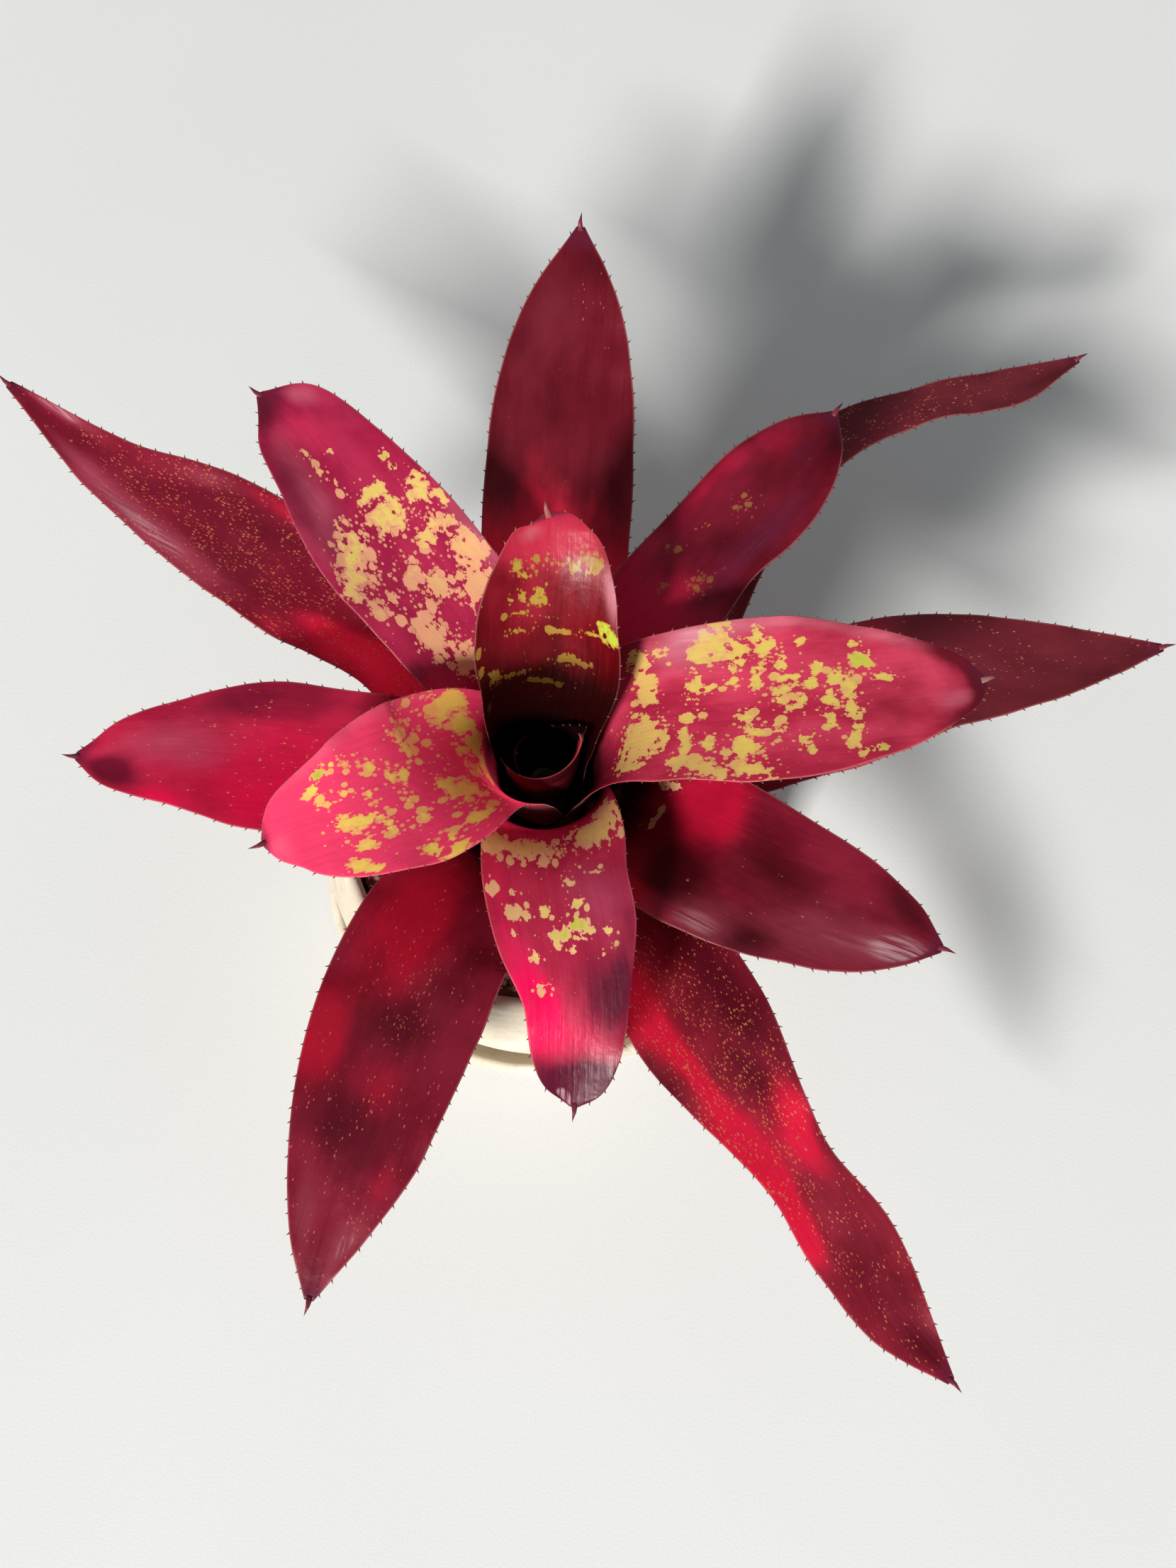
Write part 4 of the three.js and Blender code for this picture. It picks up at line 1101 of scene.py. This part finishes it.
LOOKS = {
    1: ((100, 3, 8), (140, 6, 12), (6, 1, 1), (200, 5, 15), (200, 30, 40), dict(flecks=0.0,
         spots=0.0, under=INNER_BACK, rim=0.0, back=0.05, glow=0.03)),
    2: ((200, 5, 12), (300, 12, 30), (6, 1, 1), (500, 20, 50), (400, 60, 100), dict(flecks=0.0,
         spots=0.0, under=INNER_BACK, rim=0.5, back=0.05, glow=0.03, horn=(260, 55, 50))),
    3: ((112, 0.8, 3.5), (170, 3, 9), (13, 1, 1), (500, 24, 58), (620, 220, 260), dict(flecks=0.05,
         tip=2.0, tan=(360, 190, 30), yellow=(400, 280, 40), spots=0.95, thin=0.15, rim=0.35,
         mark=0.95, horn=(330, 100, 90))),
    4: ((960, 48, 145), (1000, 80, 200), (50, 4, 4), (1000, 55, 160), (800, 160, 240),
         dict(flecks=0.05, glow=0.12, tip=4.0, back=0.85, tan=(980, 500, 160),
         yellow=(1000, 780, 120), spots=1.0)),
    5: ((440, 18, 55), (600, 45, 98), (150, 5, 15), (800, 70, 140), (660, 200, 270),
         dict(flecks=0.12, tip=8.0, tan=(700, 420, 140), yellow=(720, 560, 110),
         horn=(260, 110, 100))),
    6: ((360, 10, 52), (480, 24, 80), (160, 8, 30), (750, 30, 100), (500, 110, 170),
         dict(flecks=0.08, tip=12.0, thin=0.22, tan=(820, 380, 210))),
    7: ((420, 18, 56), (540, 30, 78), (85, 4, 20), (920, 4, 100), (330, 50, 105), dict(flecks=0.05,
         tip=17.0, thin=0.2, back=0.8)),
    8: ((130, 4, 12), (190, 8, 24), (50, 2, 6), (600, 12, 60), (150, 14, 45), dict(flecks=0.1,
         spots=0.8, mark=0.5, tan=(420, 220, 50), thin=0.75, yellow=(460, 320, 50))),
    9: ((380, 8, 40), (460, 15, 55), (150, 5, 22), (660, 5, 55), (420, 50, 100), dict(flecks=0.25,
         spots=0.0)),
    10: ((160, 5, 18), (210, 10, 28), (45, 1, 3), (500, 6, 34), (280, 40, 65), dict(flecks=0.12,
          spots=0.4)),
    11: ((105, 4, 11), (145, 8, 18), (70, 3, 7), (900, 14, 60), (200, 22, 38), dict(flecks=0.1,
          spots=0.0)),
    12: ((165, 6, 19), (220, 12, 32), (80, 4, 11), (420, 7, 28), (260, 40, 60), dict(flecks=0.4,
          spots=0.0)),
    13: ((135, 12, 21), (170, 18, 28), (70, 6, 10), (420, 30, 60), (190, 25, 40), dict(flecks=0.3,
          spots=0.0)),
    14: ((200, 8, 25), (260, 14, 36), (110, 6, 16), (950, 18, 70), (420, 65, 110), dict(flecks=0.75,
          spots=0.0)),
    15: ((220, 11, 27), (300, 17, 38), (75, 3, 10), (720, 11, 48), (340, 45, 75), dict(flecks=0.9,
          spots=0.0)),
    16: ((125, 13, 21), (160, 19, 29), (70, 6, 10), (220, 10, 25), (190, 30, 42), dict(flecks=0.45,
          spots=0.0)),
}


# ---- camera, lights and floor ----

LIGHTS = dict(                        # places and sizes in m, power in W
    key=dict(place=(-3.86, -7.16, 5.84), target=(0, 0, 0.12), size=1.6, power=1500,
             colour=(1.0, 0.985, 0.96)),
    fill=dict(place=(0.9, 0.6, 1.9), target=(0, 0, 0.1), size=1.8, power=3,
              colour=(0.92, 0.96, 1.0)),
)
SKY_COLOUR = (0.93, 0.96, 1.0)
SKY_STRENGTH = 0.20
FLOOR_HALF_MM = 12000.0


def make_camera():
    e = math.radians(CAMERA_ELEVATION)
    ahead = Vector((0, math.cos(e), -math.sin(e)))
    right = Vector((1, 0, 0))
    up = Vector((0, math.sin(e), math.cos(e)))
    off_x = (AIM_PX[0] - IMAGE_WIDTH_PX / 2) / FOCAL_PX * AIM_DEPTH_MM
    off_y = -(AIM_PX[1] - IMAGE_HEIGHT_PX / 2) / FOCAL_PX * AIM_DEPTH_MM
    place = Vector(AIM_MM) - ahead * AIM_DEPTH_MM - right * off_x - up * off_y
    data = bpy.data.cameras.new("camera")
    data.sensor_fit = "VERTICAL"
    data.sensor_height = SENSOR_MM
    data.lens = SENSOR_MM * FOCAL_PX / IMAGE_HEIGHT_PX
    data.clip_start, data.clip_end = CLIP_M
    camera = bpy.data.objects.new("camera", data)
    camera.location = place * MM
    camera.rotation_euler = (math.radians(90 - CAMERA_ELEVATION), 0, 0)
    bpy.context.collection.objects.link(camera)
    bpy.context.scene.camera = camera


def make_area(name, place, target, size, power, colour):
    data = bpy.data.lights.new(name, "AREA")
    data.size, data.energy, data.color = size, power, colour
    light = bpy.data.objects.new(name, data)
    light.location = place
    direction = Vector(target) - light.location
    light.rotation_euler = direction.to_track_quat("-Z", "Y").to_euler()
    bpy.context.collection.objects.link(light)


def make_stage():
    for name, light in LIGHTS.items():
        make_area(name, **light)
    world = bpy.data.worlds.new("studio")
    bpy.context.scene.world = world
    world.use_nodes = True
    background = world.node_tree.nodes["Background"]
    background.inputs[0].default_value = (*SKY_COLOUR, 1)
    background.inputs[1].default_value = SKY_STRENGTH
    bpy.context.scene.view_settings.view_transform = "Standard"
    size = FLOOR_HALF_MM
    corners = [(-size, -size, 0), (size, -size, 0), (size, size, 0), (-size, size, 0)]
    floor = mesh_piece("floor", corners, [(0, 1, 2, 3)])
    floor.data.materials.append(paper_material())


make_camera()
make_stage()
ceramic = ceramic_material()
make_saucer(ceramic)
make_pot(ceramic)
make_gravel(pebble_material())
make_stem(stem_material())
for index, leaf in enumerate(LEAVES):
    number = index + 1
    *colours, rest = LOOKS[number]
    look = leaf_material(f"leaf_look_{number:02d}", *colours, **rest)
    if number <= ROLLED_LEAVES:
        make_rolled(index, *((RIM_INNER, ROLL_INNER), (RIM, ROLL))[index], look)
    else:
        make_leaf(index, leaf, look)

bark = bark_material()
mix = bpy.data.objects["potting_mix"]
for slot in mix.material_slots:
    slot.material = bark
